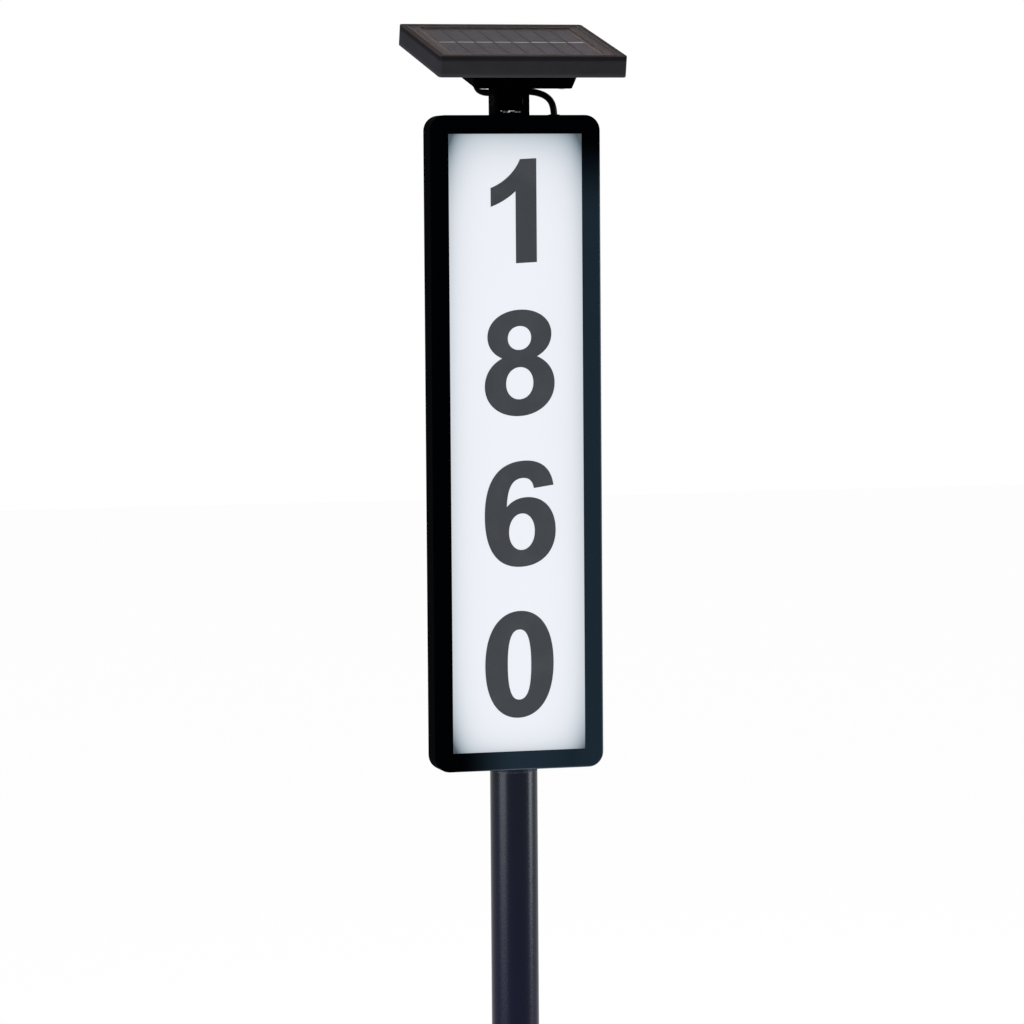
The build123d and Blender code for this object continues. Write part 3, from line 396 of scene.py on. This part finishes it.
opal_acrylic = coat(
    place,
    colour=(0.07, 0.072, 0.078, 1),
    roughness=0.42 + place.grain(700.0) * 0.06,
    Emission_Color=place.vector(glow * 0.77, glow**0.85 * 0.778, glow**0.80 * 0.82),
    Emission_Strength=1.0,
    Specular_IOR_Level=0.05,
)
dress(opal_acrylic, "face_panel")

# ------------------------------------------------------------------ numerals
# Four dark grey numerals, each cut from thin plastic sheet under a matt vinyl skin and stuck to
# the front of the face.
numeral_vinyl = moulded(
    "numeral_vinyl",
    colour=(0.038, 0.039, 0.042, 1),
    worn=(0.044, 0.045, 0.048, 1),
    roughness=0.5,
    grain=2400.0,
    depth=0.00003,
    Specular_IOR_Level=0.03,
)
dress(numeral_vinyl, "numeral_1", "numeral_8", "numeral_6", "numeral_0")

# ------------------------------------------------------------------ light chamber
# Behind the face: a frosted sheet, a white plastic frame and a white plate that carries two long
# LED boards with copper tracks under their white mask.
reflector_front = -0.0005
led_board_thickness = 0.001
led_board_x = 0.029
track_from_middle = 0.0034
place = begin("clear_diffuser")
frost = place.grain(900.0, detail=4.0)
clear_diffuser = coat(
    place,
    colour=frost.between((0.78, 0.8, 0.82, 1), (0.88, 0.9, 0.92, 1)),
    roughness=0.55 + frost * 0.2,
    relief=frost,
    Alpha=0.7,
)
dress(clear_diffuser, "diffuser_sheet")
white_plastic = moulded(
    "white_plastic",
    colour=(0.78, 0.79, 0.79, 1),
    worn=(0.70, 0.70, 0.68, 1),
    roughness=0.4,
    grain=1200.0,
)
dress(white_plastic, "light_frame", "board_standoffs")
white_sheet = moulded(
    "white_sheet",
    colour=(0.80, 0.80, 0.79, 1),
    worn=(0.74, 0.74, 0.72, 1),
    roughness=0.35,
    grain=800.0,
)
dress(white_sheet, "reflector_plate")

place = begin("led_board_white")
off_board_middle = abs(abs(place.part("X")) - led_board_x)
track = (off_board_middle - track_from_middle).rise(-0.0002, 0.0004)
weave = place.grain(3000.0, detail=2.0)
led_board_white = coat(
    place,
    colour=track.between((0.74, 0.75, 0.74, 1), (0.64, 0.67, 0.63, 1)),
    roughness=0.32 + weave * 0.12,
    relief=weave,
    depth=0.00004,
)
dress(led_board_white, "led_boards", "led_link_board")

# ------------------------------------------------------------------ LEDs
# Two columns of sixteen surface-mounted LEDs, soldered to the boards. Each is a white package
# with a round lens of yellow phosphor under clear resin.
led_sizes = {
    "Rows": 16,
    "Pitch": 0.0348,
    "Spread": led_board_x * 2,
    "Width": 0.0028,
    "Length": 0.0035,
    "Height": 0.0008,
}
package_height_share = 0.75
lens_height_share, lens_radius_share = 0.5, 0.4


def grown(name, tree, sizes, body, stands_for=()):
    """Runs a shape's nodes once and keeps what they make as a plain mesh."""
    seed = bpy.data.objects.new("seed", bpy.data.meshes.new("seed"))
    bpy.context.scene.collection.objects.link(seed)
    modifier = seed.modifiers.new("shape", "NODES")
    modifier.node_group = tree
    for socket in tree.interface.items_tree:
        if socket.in_out == "INPUT" and socket.name in sizes:
            modifier[socket.identifier] = sizes[socket.name]
    depsgraph = bpy.context.evaluated_depsgraph_get()
    mesh = bpy.data.meshes.new_from_object(seed.evaluated_get(depsgraph))
    seed.modifiers.remove(modifier)
    bpy.data.objects.remove(seed)
    return shown(name, mesh, body, stands_for)


def shape(name, sizes):
    """A Geometry Nodes tree with those sizes as its inputs. It gives a tone for each size."""
    tree = bpy.data.node_groups.new(name, "GeometryNodeTree")
    tree.interface.new_socket("Geometry", in_out="OUTPUT", socket_type="NodeSocketGeometry")
    for size, value in sizes.items():
        kind = "NodeSocketInt" if isinstance(value, int) else "NodeSocketFloat"
        tree.interface.new_socket(size, in_out="INPUT", socket_type=kind)
    inputs = tree.nodes.new("NodeGroupInput")
    return tree, [Tone(inputs.outputs[size], tree) for size in sizes]


def moved(geometry, place=(0, 0, 0), turn=(0, 0, 0)):
    return geometry.node(
        "GeometryNodeTransform",
        {"Geometry": geometry, "Translation": place, "Rotation": Euler(turn)},
    )


def made_real(geometry, finish):
    """Turns copies into real faces and gives them their finish."""
    real = geometry.node("GeometryNodeRealizeInstances", {"Geometry": geometry})
    return real.node("GeometryNodeSetMaterial", {"Geometry": real, "Material": finish})


def led_tree(sizes, package_finish, lens_finish):
    tree, (rows, pitch, spread, width, length, height) = shape("led_shape", sizes)
    points = rows.node(
        "GeometryNodeMeshGrid",
        {"Size X": spread, "Size Y": pitch * (rows - 1), "Vertices X": 2, "Vertices Y": rows},
    )
    package = rows.node(
        "GeometryNodeMeshCube",
        {"Size": rows.vector(width, length, height * package_height_share)},
    )
    package = moved(package, rows.vector(0.0, 0.0, height * (package_height_share / 2)))
    lens = rows.node(
        "GeometryNodeMeshCylinder",
        {
            "Vertices": 20,
            "Radius": width * lens_radius_share,
            "Depth": height * lens_height_share,
        },
    )
    lens = moved(lens, rows.vector(0.0, 0.0, height * (1 - lens_height_share / 2)))
    fields = []
    for single, finish in ((package, package_finish), (lens, lens_finish)):
        field = rows.node("GeometryNodeInstanceOnPoints", {"Points": points, "Instance": single})
        board_front = (0, reflector_front - led_board_thickness, sign_middle)
        fields.append(made_real(moved(field, board_front, (pi / 2, 0, 0)), finish))
    both = rows.node("GeometryNodeJoinGeometry", {"Geometry": fields})
    both.node("NodeGroupOutput", {"Geometry": both})
    return tree


place = begin("led_phosphor")
speck = place.grain(6000.0, detail=2.0)
led_phosphor = coat(
    place,
    colour=speck.between((0.86, 0.66, 0.16, 1), (0.93, 0.80, 0.34, 1)),
    roughness=0.2 + speck * 0.1,
    relief=speck,
    depth=0.00002,
)
led_package = moulded(
    "led_package",
    colour=(0.82, 0.82, 0.80, 1),
    worn=(0.75, 0.75, 0.72, 1),
    roughness=0.35,
    grain=3000.0,
    depth=0.00002,
)
led_shape = led_tree(led_sizes, led_package, led_phosphor)
grown("led_packages", led_shape, led_sizes, "root", ["leds"])

# ------------------------------------------------------------------ raised back and its cover
# A shallow aluminium pan in a near black powder coat with a coarser grain than the frame's, and a
# cover plate on a rubber gasket, held by six screws, over the cells and the electronics.
place = begin("back_paint")
peel = place.grain(1100.0)
dust = place.grain(22.0, detail=5.0).rise(0.5, 0.75) * 0.5
back_paint = coat(
    place,
    colour=dust.between((0.0035, 0.0042, 0.0052, 1), (0.009, 0.010, 0.0115, 1)),
    roughness=0.46 + peel * 0.14,
    relief=peel,
    depth=0.00012,
    Specular_IOR_Level=0.05,
)
dress(back_paint, "rear_housing", "rear_cover")

# ------------------------------------------------------------------ rechargeable cells
# Three AA size cells in plain blue shrink wrap with one pale band each and bare steel ends, held
# in a black plastic holder.
cell_end_from, cell_end_to = 0.0240, 0.0246
band_x, band_half_width = -0.012, 0.002
place = begin("battery_wrap")
end = abs(place.part("X")).rise(cell_end_from, cell_end_to)
off_band = abs(place.part("X") - band_x).rise(band_half_width, band_half_width + 0.0004)
wrap = off_band.between((0.42, 0.44, 0.46, 1), (0.02, 0.10, 0.30, 1))
crease = place.grain(300.0, stretch=(0.2, 1, 1))
battery_wrap = coat(
    place,
    colour=end.between(wrap, (0.62, 0.62, 0.60, 1)),
    roughness=0.25 + crease * 0.15,
    relief=crease,
    depth=0.00008,
    Metallic=end,
)
dress(battery_wrap, "battery_cells")

# ------------------------------------------------------------------ boards, leads and switch
# A green control board on white standoffs with its parts, thin insulated leads, and a push
# button in a threaded body with a steel nut. The boards' solder pads are bright metal.
place = begin("circuit_green")
tracks = place.node(
    "ShaderNodeTexVoronoi",
    {"Vector": place, "Scale": 260.0, "Randomness": 0.4},
    distance="MANHATTAN",
)
pads = 1 - tracks.rise(0.12, 0.16)
circuit_green = coat(
    place,
    colour=pads.between((0.006, 0.070, 0.022, 1), (0.60, 0.56, 0.42, 1)),
    roughness=0.3 + place.grain(1500.0) * 0.1,
    relief=pads,
    depth=0.00004,
    Metallic=pads,
)
dress(circuit_green, "controller_board", "terminal_board")
component_black = moulded(
    "component_black",
    colour=(0.010, 0.010, 0.011, 1),
    worn=(0.020, 0.020, 0.021, 1),
    roughness=0.36,
    grain=2600.0,
)
dress(component_black, "board_parts")
lead_red = moulded(
    "lead_red",
    colour=(0.34, 0.012, 0.010, 1),
    worn=(0.27, 0.010, 0.010, 1),
    roughness=0.32,
    grain=2600.0,
    depth=0.00003,
)
dress(lead_red, "light_lead", "battery_lead", "switch_lead")
dress(lead_jacket, "solar_lead_inside")
button_grey = moulded(
    "button_grey",
    colour=(0.11, 0.11, 0.118, 1),
    worn=(0.085, 0.085, 0.09, 1),
    roughness=0.3,
    grain=2000.0,
    depth=0.00004,
)
dress(button_grey, "power_button")

# ------------------------------------------------------------------ yoke, pivot and junction box
# The short neck: a yoke screwed down through its floor, with a blackened bolt and bronze friction
# discs that hold the solar head's knuckle at any tilt. Yoke, knuckle and junction box are moulded
# in black glass-filled nylon.
place = begin("box_plastic")
fine = place.grain(1600.0, detail=2.0)
rub = place.grain(120.0, detail=4.0).rise(0.58, 0.8) * 0.4
box_plastic = coat(
    place,
    colour=rub.between((0.0002, 0.0002, 0.0002, 1), (0.0012, 0.0012, 0.0012, 1)),
    roughness=0.58 + fine * 0.12,
    relief=fine,
    depth=0.00008,
    Specular_IOR_Level=0.001,
)
dress(box_plastic, "yoke", "tilt_knuckle", "junction_box")
dull_steel = drawn_metal(
    "dull_steel",
    dark=(0.045, 0.045, 0.045, 1),
    light=(0.08, 0.08, 0.078, 1),
    roughness=0.4,
    stretch=(1, 1, 0.3),
)
dress(dull_steel, "yoke_screws")
blackened_steel = moulded(
    "blackened_steel",
    colour=(0.0006, 0.0006, 0.0006, 1),
    worn=(0.002, 0.002, 0.002, 1),
    roughness=0.5,
    grain=900.0,
    depth=0.00003,
    Specular_IOR_Level=0.002,
)
dress(blackened_steel, "tilt_bolt")
friction_bronze = drawn_metal(
    "friction_bronze",
    dark=(0.06, 0.045, 0.03, 1),
    light=(0.10, 0.075, 0.05, 1),
    roughness=0.4,
    stretch=(1, 1, 1),
)
dress(friction_bronze, "friction_washers")

# ------------------------------------------------------------------ gland under the junction box
# A plastic cable gland: a ribbed dome nut that grips the lead, its thread through the box's floor
# and a hexagonal nut inside.
pivot_z = 1.354
panel_tilt = radians(13)
head_turn = Euler((panel_tilt, 0, 0)).to_matrix()
box_bottom = 0.021
gland_x, gland_y = -0.0272, 0.027
gland_sizes = {"Radius": 0.006, "Ribs": 20}
gland_drums = (  # share of the radius, lowest height, depth and sides
    (0.92, -0.0056, 0.0056, 48),  # dome nut
    (0.80, -0.0068, 0.0012, 48),  # its lip round the lead
    (0.78, 0.0, 0.0055, 32),  # thread
    (0.98, 0.0025, 0.0020, 6),  # nut inside the box
)
rib_ring_share, rib_radius, rib_length, rib_middle = 0.9, 0.0006, 0.0046, -0.0027


def on_head(x, y, height):
    """A place on the head, measured from the pivot along the panel's own directions."""
    return Vector((0, 0, pivot_z)) + head_turn @ Vector((x, y, height))


def gland_tree(sizes, finish):
    tree, (radius, ribs) = shape("gland_shape", sizes)
    parts = []
    for share, lowest, depth, sides in gland_drums:
        drum = radius.node(
            "GeometryNodeMeshCylinder",
            {"Vertices": sides, "Radius": radius * share, "Depth": depth},
        )
        parts.append(moved(drum, (0, 0, lowest + depth / 2)))
    ring = radius.node(
        "GeometryNodeMeshCircle", {"Vertices": ribs, "Radius": radius * rib_ring_share}
    )
    rib = radius.node(
        "GeometryNodeMeshCylinder", {"Vertices": 8, "Radius": rib_radius, "Depth": rib_length}
    )
    ribs_placed = radius.node("GeometryNodeInstanceOnPoints", {"Points": ring, "Instance": rib})
    parts.append(moved(ribs_placed, (0, 0, rib_middle)))
    whole = radius.node("GeometryNodeJoinGeometry", {"Geometry": parts})
    whole = moved(whole, tuple(on_head(gland_x, gland_y, box_bottom)), (panel_tilt, 0, 0))
    whole.node("NodeGroupOutput", {"Geometry": made_real(whole, finish)})
    return tree


gland_shape = gland_tree(gland_sizes, black_plastic)
grown("gland_nut", gland_shape, gland_sizes, "head", ["lead_gland"])

# ------------------------------------------------------------------ panel frame
# The solar head's tray, moulded in charcoal plastic that the weather has turned a little grey. Its
# rim has held more dust than its sides and is darker along its back edge. The sides carry a
# painted shadow just under the rim and are lighter along their foot.
panel_bottom, panel_top = 0.0381, 0.059
rim_edge_from, rim_edge_to = 0.0203, 0.0208
back_rim_from, back_rim_to = 0.0762, 0.0782
panel_up = tuple(head_turn @ Vector((0, 0, 1)))
panel_back = tuple(head_turn @ Vector((0, 1, 0)))
pivot_along_up = Vector((0, 0, pivot_z)).dot(Vector(panel_up))
pivot_along_back = Vector((0, 0, pivot_z)).dot(Vector(panel_back))


def above_panel_bottom(place):
    """How high a place lies in the panel, square to its face."""
    return place.along(panel_up) - pivot_along_up - panel_bottom


def behind_pivot(place):
    """How far back a place lies on the panel, along its face."""
    return place.along(panel_back) - pivot_along_back


place = begin("head_plastic")
height = above_panel_bottom(place)
# Painted shadow: the sides are darkened just under the rim, where the rim shades them.
painted_shadow_under_rim = height.rise(0.0150, 0.0172) * (1 - height.rise(0.0199, 0.0206))
rim = height.rise(rim_edge_from, rim_edge_to)
foot = 1 - height.rise(0.0, 0.005)
at_back = behind_pivot(place).rise(back_rim_from, back_rim_to)
speck = place.grain(1500.0)
cloud = place.grain(60.0, detail=4.0)
side_colour = (cloud * 0.5 + speck * 0.5).between(
    (0.0100, 0.0094, 0.0102, 1), (0.0225, 0.0214, 0.0228, 1)
)
side_colour = (foot * 0.5).between(side_colour, (0.040, 0.037, 0.039, 1))
side_colour = (painted_shadow_under_rim * 0.7).between(side_colour, (0.004, 0.0032, 0.004, 1))
rim_colour = cloud.between((0.024, 0.0182, 0.0178, 1), (0.037, 0.0283, 0.0278, 1))
rim_colour = (at_back * 0.92).between(rim_colour, (0.0055, 0.0053, 0.005, 1))
head_plastic = coat(
    place,
    colour=rim.between(side_colour, rim_colour),
    roughness=0.5 + speck * 0.16,
    relief=speck,
    depth=0.0001,
    Specular_IOR_Level=0.001,
)
dress(head_plastic, "panel_frame")

# ------------------------------------------------------------------ solar face
# Eight blue-violet silicon cells on a brown-black laminate, joined by a tinned ribbon across the
# middle, under low-iron glass that has a brown border printed round the field of cells.
cell_columns = 8
cell_field_width, cell_field_depth = 0.146, 0.128
cell_line = 0.0012
cell_thickness = 0.0004
cell_pitch = (cell_field_width + cell_line) / cell_columns
glass_step, glass_thickness = 0.0006, 0.0024
laminate_top = panel_top - glass_step - glass_thickness


def past_cells(place):
    """How far a place lies outside the field of cells, seen straight down on the panel."""
    aside = abs(place.part("X")) - cell_field_width / 2
    return aside.most(abs(behind_pivot(place)) - cell_field_depth / 2)


place = begin("laminate")
dust = place.grain(80.0, detail=5.0)
# Round the field of cells the laminate is painted lighter: painted light that makes up for the
# shade the glass's printed border casts on it.
sheet_edge = past_cells(place).rise(-0.0003, 0.0003)
between_cells = dust.between((0.030, 0.022, 0.020, 1), (0.050, 0.038, 0.034, 1))
round_cells_painted_light = dust.between((0.13, 0.098, 0.088, 1), (0.18, 0.135, 0.122, 1))
laminate = coat(
    place,
    colour=sheet_edge.between(between_cells, round_cells_painted_light),
    roughness=0.4 + dust * 0.2,
    relief=dust,
    depth=0.00005,
    Specular_IOR_Level=0.02,
)
dress(laminate, "solar_laminate")

place = begin("silicon")
flakes = place.node("ShaderNodeTexVoronoi", {"Vector": place, "Scale": 170.0}, out="Color")
flake = flakes.node("ShaderNodeSeparateColor", {"Color": flakes})
dust = place.grain(70.0, detail=4.0)
silicon_colour = flake.between((0.0215, 0.0163, 0.0246, 1), (0.0335, 0.0262, 0.0382, 1))
silicon = coat(
    place,
    colour=(dust * 0.5).between(silicon_colour, (0.055, 0.046, 0.052, 1)),
    roughness=0.34 + flake * 0.1,
    Specular_IOR_Level=0.004,
)
dress(silicon, "solar_cells")
ribbon_tin = drawn_metal(
    "ribbon_tin",
    dark=(0.40, 0.38, 0.38, 1),
    light=(0.50, 0.48, 0.47, 1),
    roughness=0.34,
    stretch=(0.1, 1, 1),
)
dress(ribbon_tin, "bus_ribbons")

place = begin("clear_glass")
smear = place.grain(25.0, detail=5.0)
on_top = above_panel_bottom(place).rise(0.0192, 0.0200)
border = past_cells(place).rise(0.0022, 0.0028) * on_top
print_colour = smear.between((0.0240, 0.0170, 0.0168, 1), (0.0370, 0.0268, 0.0266, 1))
clear_glass = coat(
    place,
    colour=border.between((0.06, 0.055, 0.055, 1), print_colour),
    roughness=0.10 + smear * 0.12,
    Alpha=(0.08 + smear * 0.05).most(border * 0.6),
    Specular_IOR_Level=0.004,
)
dress(clear_glass, "cover_glass")

# ------------------------------------------------------------------ silver fingers on the cells
# Thin lines of silver paste, printed and fired on each cell, that gather its current. They lie
# across the cell, 2.4 mm apart.
finger_thickness = 0.00004
finger_sizes = {
    "Columns": cell_columns,
    "Rows": 52,
    "Pitch": cell_pitch,
    "Step": 0.0024,
    "Width": 0.00012,
    "Length": cell_pitch - cell_line - 0.0012,
    "Thickness": finger_thickness,
}


def finger_tree(sizes, finish):
    tree, (columns, rows, pitch, step, width, length, thickness) = shape("finger_shape", sizes)
    points = rows.node(
        "GeometryNodeMeshGrid",
        {
            "Size X": pitch * (columns - 1),
            "Size Y": step * (rows - 1),
            "Vertices X": columns,
            "Vertices Y": rows,
        },
    )
    finger = rows.node("GeometryNodeMeshCube", {"Size": rows.vector(length, width, thickness)})
    placed = rows.node("GeometryNodeInstanceOnPoints", {"Points": points, "Instance": finger})
    lift = tuple(on_head(0, 0, laminate_top + cell_thickness + finger_thickness / 2))
    placed = moved(placed, lift, (panel_tilt, 0, 0))
    placed.node("NodeGroupOutput", {"Geometry": made_real(placed, finish)})
    return tree


place = begin("finger_silver")
silver = place.grain(2000.0)
finger_silver = coat(
    place,
    colour=silver.between((0.16, 0.155, 0.165, 1), (0.24, 0.23, 0.24, 1)),
    roughness=0.4 + silver * 0.1,
    Metallic=0.6,
)
finger_shape = finger_tree(finger_sizes, finger_silver)
grown("cell_fingers", finger_shape, finger_sizes, "head")

# ------------------------------------------------------------------ sealant round the glass
# A thin bead of dark brown silicone, run into the joint between the glass and the tray's rim and
# left to cure.
sealant_sizes = {"Width": 0.1731, "Depth": 0.1517, "Thickness": 0.0005}


def sealant_tree(sizes, finish):
    tree, (width, depth, thickness) = shape("sealant_shape", sizes)
    loop = width.node(
        "GeometryNodeCurvePrimitiveQuadrilateral", {"Width": width, "Height": depth}
    )
    loop = width.node(
        "GeometryNodeFilletCurve", {"Curve": loop, "Radius": 0.0008, "Count": 4}, mode="POLY"
    )
    ring = width.node(
        "GeometryNodeCurvePrimitiveCircle", {"Resolution": 8, "Radius": thickness}
    )
    bead = width.node("GeometryNodeCurveToMesh", {"Curve": loop, "Profile Curve": ring})
    lift = tuple(on_head(0, 0, panel_top - glass_step))
    bead = moved(bead, lift, (panel_tilt, 0, 0))
    bead.node("NodeGroupOutput", {"Geometry": made_real(bead, finish)})
    return tree


sealant = moulded(
    "sealant",
    colour=(0.020, 0.015, 0.015, 1),
    worn=(0.040, 0.031, 0.029, 1),
    roughness=0.45,
    grain=900.0,
    Specular_IOR_Level=0.15,
)
sealant_shape = sealant_tree(sealant_sizes, sealant)
grown("glass_sealant", sealant_shape, sealant_sizes, "head")

# ------------------------------------------------------------------ floor and surround
# A plain white floor in a white surround, which lights the sign only softly. The camera,
# reflections and clear bodies see the surround as plain white and the floor as 98% of it, so
# hardly any of the sign's shadow shows.
floor_half, floor_level = 14.0, -0.0005
floor_white_share = 0.98
surround_light = 0.12


def sees_white(tone):
    """1 for a ray from the camera, off a gloss or through a clear body, and 0 for the rest."""
    from_camera, off_gloss, through_clear = (
        tone.node("ShaderNodeLightPath", out=f"Is {kind} Ray")
        for kind in ("Camera", "Glossy", "Transmission")
    )
    return from_camera.most(through_clear).most(off_gloss)


floor_mesh = bpy.data.meshes.new("floor")
corners = [(-1, -1), (1, -1), (1, 1), (-1, 1)]
corners = [(x * floor_half, y * floor_half, floor_level) for x, y in corners]
floor_mesh.from_pydata(corners, [], [(0, 1, 2, 3)])
floor = bpy.data.objects.new("floor", floor_mesh)
bpy.context.scene.collection.objects.link(floor)
place = begin("floor_white")
paper = place.grain(30.0).between((0.84, 0.84, 0.84, 1), (0.86, 0.86, 0.86, 1))
matt = place.node("ShaderNodeBsdfDiffuse", {"Color": paper})
glare = place.node("ShaderNodeEmission", {"Color": (1, 1, 1, 1), "Strength": 1.0})
white_share = sees_white(place) * floor_white_share
floor_shader = place.node("ShaderNodeMixShader", {0: white_share, 1: matt, 2: glare})
place.node("ShaderNodeOutputMaterial", {"Surface": floor_shader})
floor_mesh.materials.append(place.owner)

world = bpy.data.worlds.new("surround")
bpy.context.scene.world = world
world.use_nodes = True
world.node_tree.nodes.clear()
sky = Tone(None, world)
soft = sky.node(
    "ShaderNodeBackground", {"Color": (0.94, 0.96, 1.0, 1), "Strength": surround_light}
)
white = sky.node("ShaderNodeBackground", {"Color": (1, 1, 1, 1), "Strength": 1.0})
surround = sky.node("ShaderNodeMixShader", {0: sees_white(sky), 1: soft, 2: white})
sky.node("ShaderNodeOutputWorld", {"Surface": surround})

# ------------------------------------------------------------------ lamps
# A large soft lamp overhead, a small one high in front, and one high behind on the right for the
# back. One stands on each side, a little in front, and their reflections run down the pole.
lamp_target = Vector((0, 0, 0.95))
lamps = (  # name, place, width, height, watts and colour
    ("lamp_overhead", (0.3, 0.2, 6.5), 3.2, 3.2, 265.0, (1.0, 0.98, 0.96)),
    ("lamp_front", (0.4, -3.3, 3.5), 1.4, 1.4, 30.0, (1.0, 1.0, 1.0)),
    ("lamp_left", (-2.3, -0.8, 1.1), 1.5, 1.6, 104.0, (0.84, 0.91, 1.0)),
    ("lamp_right", (2.4, -0.75, 1.05), 0.7, 1.6, 76.0, (0.84, 0.91, 1.0)),
    ("lamp_behind", (2.0, 2.3, 3.0), 1.6, 1.6, 55.0, (1.0, 1.0, 1.0)),
)
for name, spot, width, height, power, colour in lamps:
    lamp_data = bpy.data.lights.new(name, "AREA")
    lamp_data.shape = "RECTANGLE"
    lamp_data.size, lamp_data.size_y = width, height
    lamp_data.energy, lamp_data.color = power, colour
    lamp = bpy.data.objects.new(name, lamp_data)
    aimed = (lamp_target - Vector(spot)).to_track_quat("-Z", "Y")
    lamp.matrix_world = Matrix.Translation(spot) @ aimed.to_matrix().to_4x4()
    lamp.visible_camera = False
    bpy.context.scene.collection.objects.link(lamp)
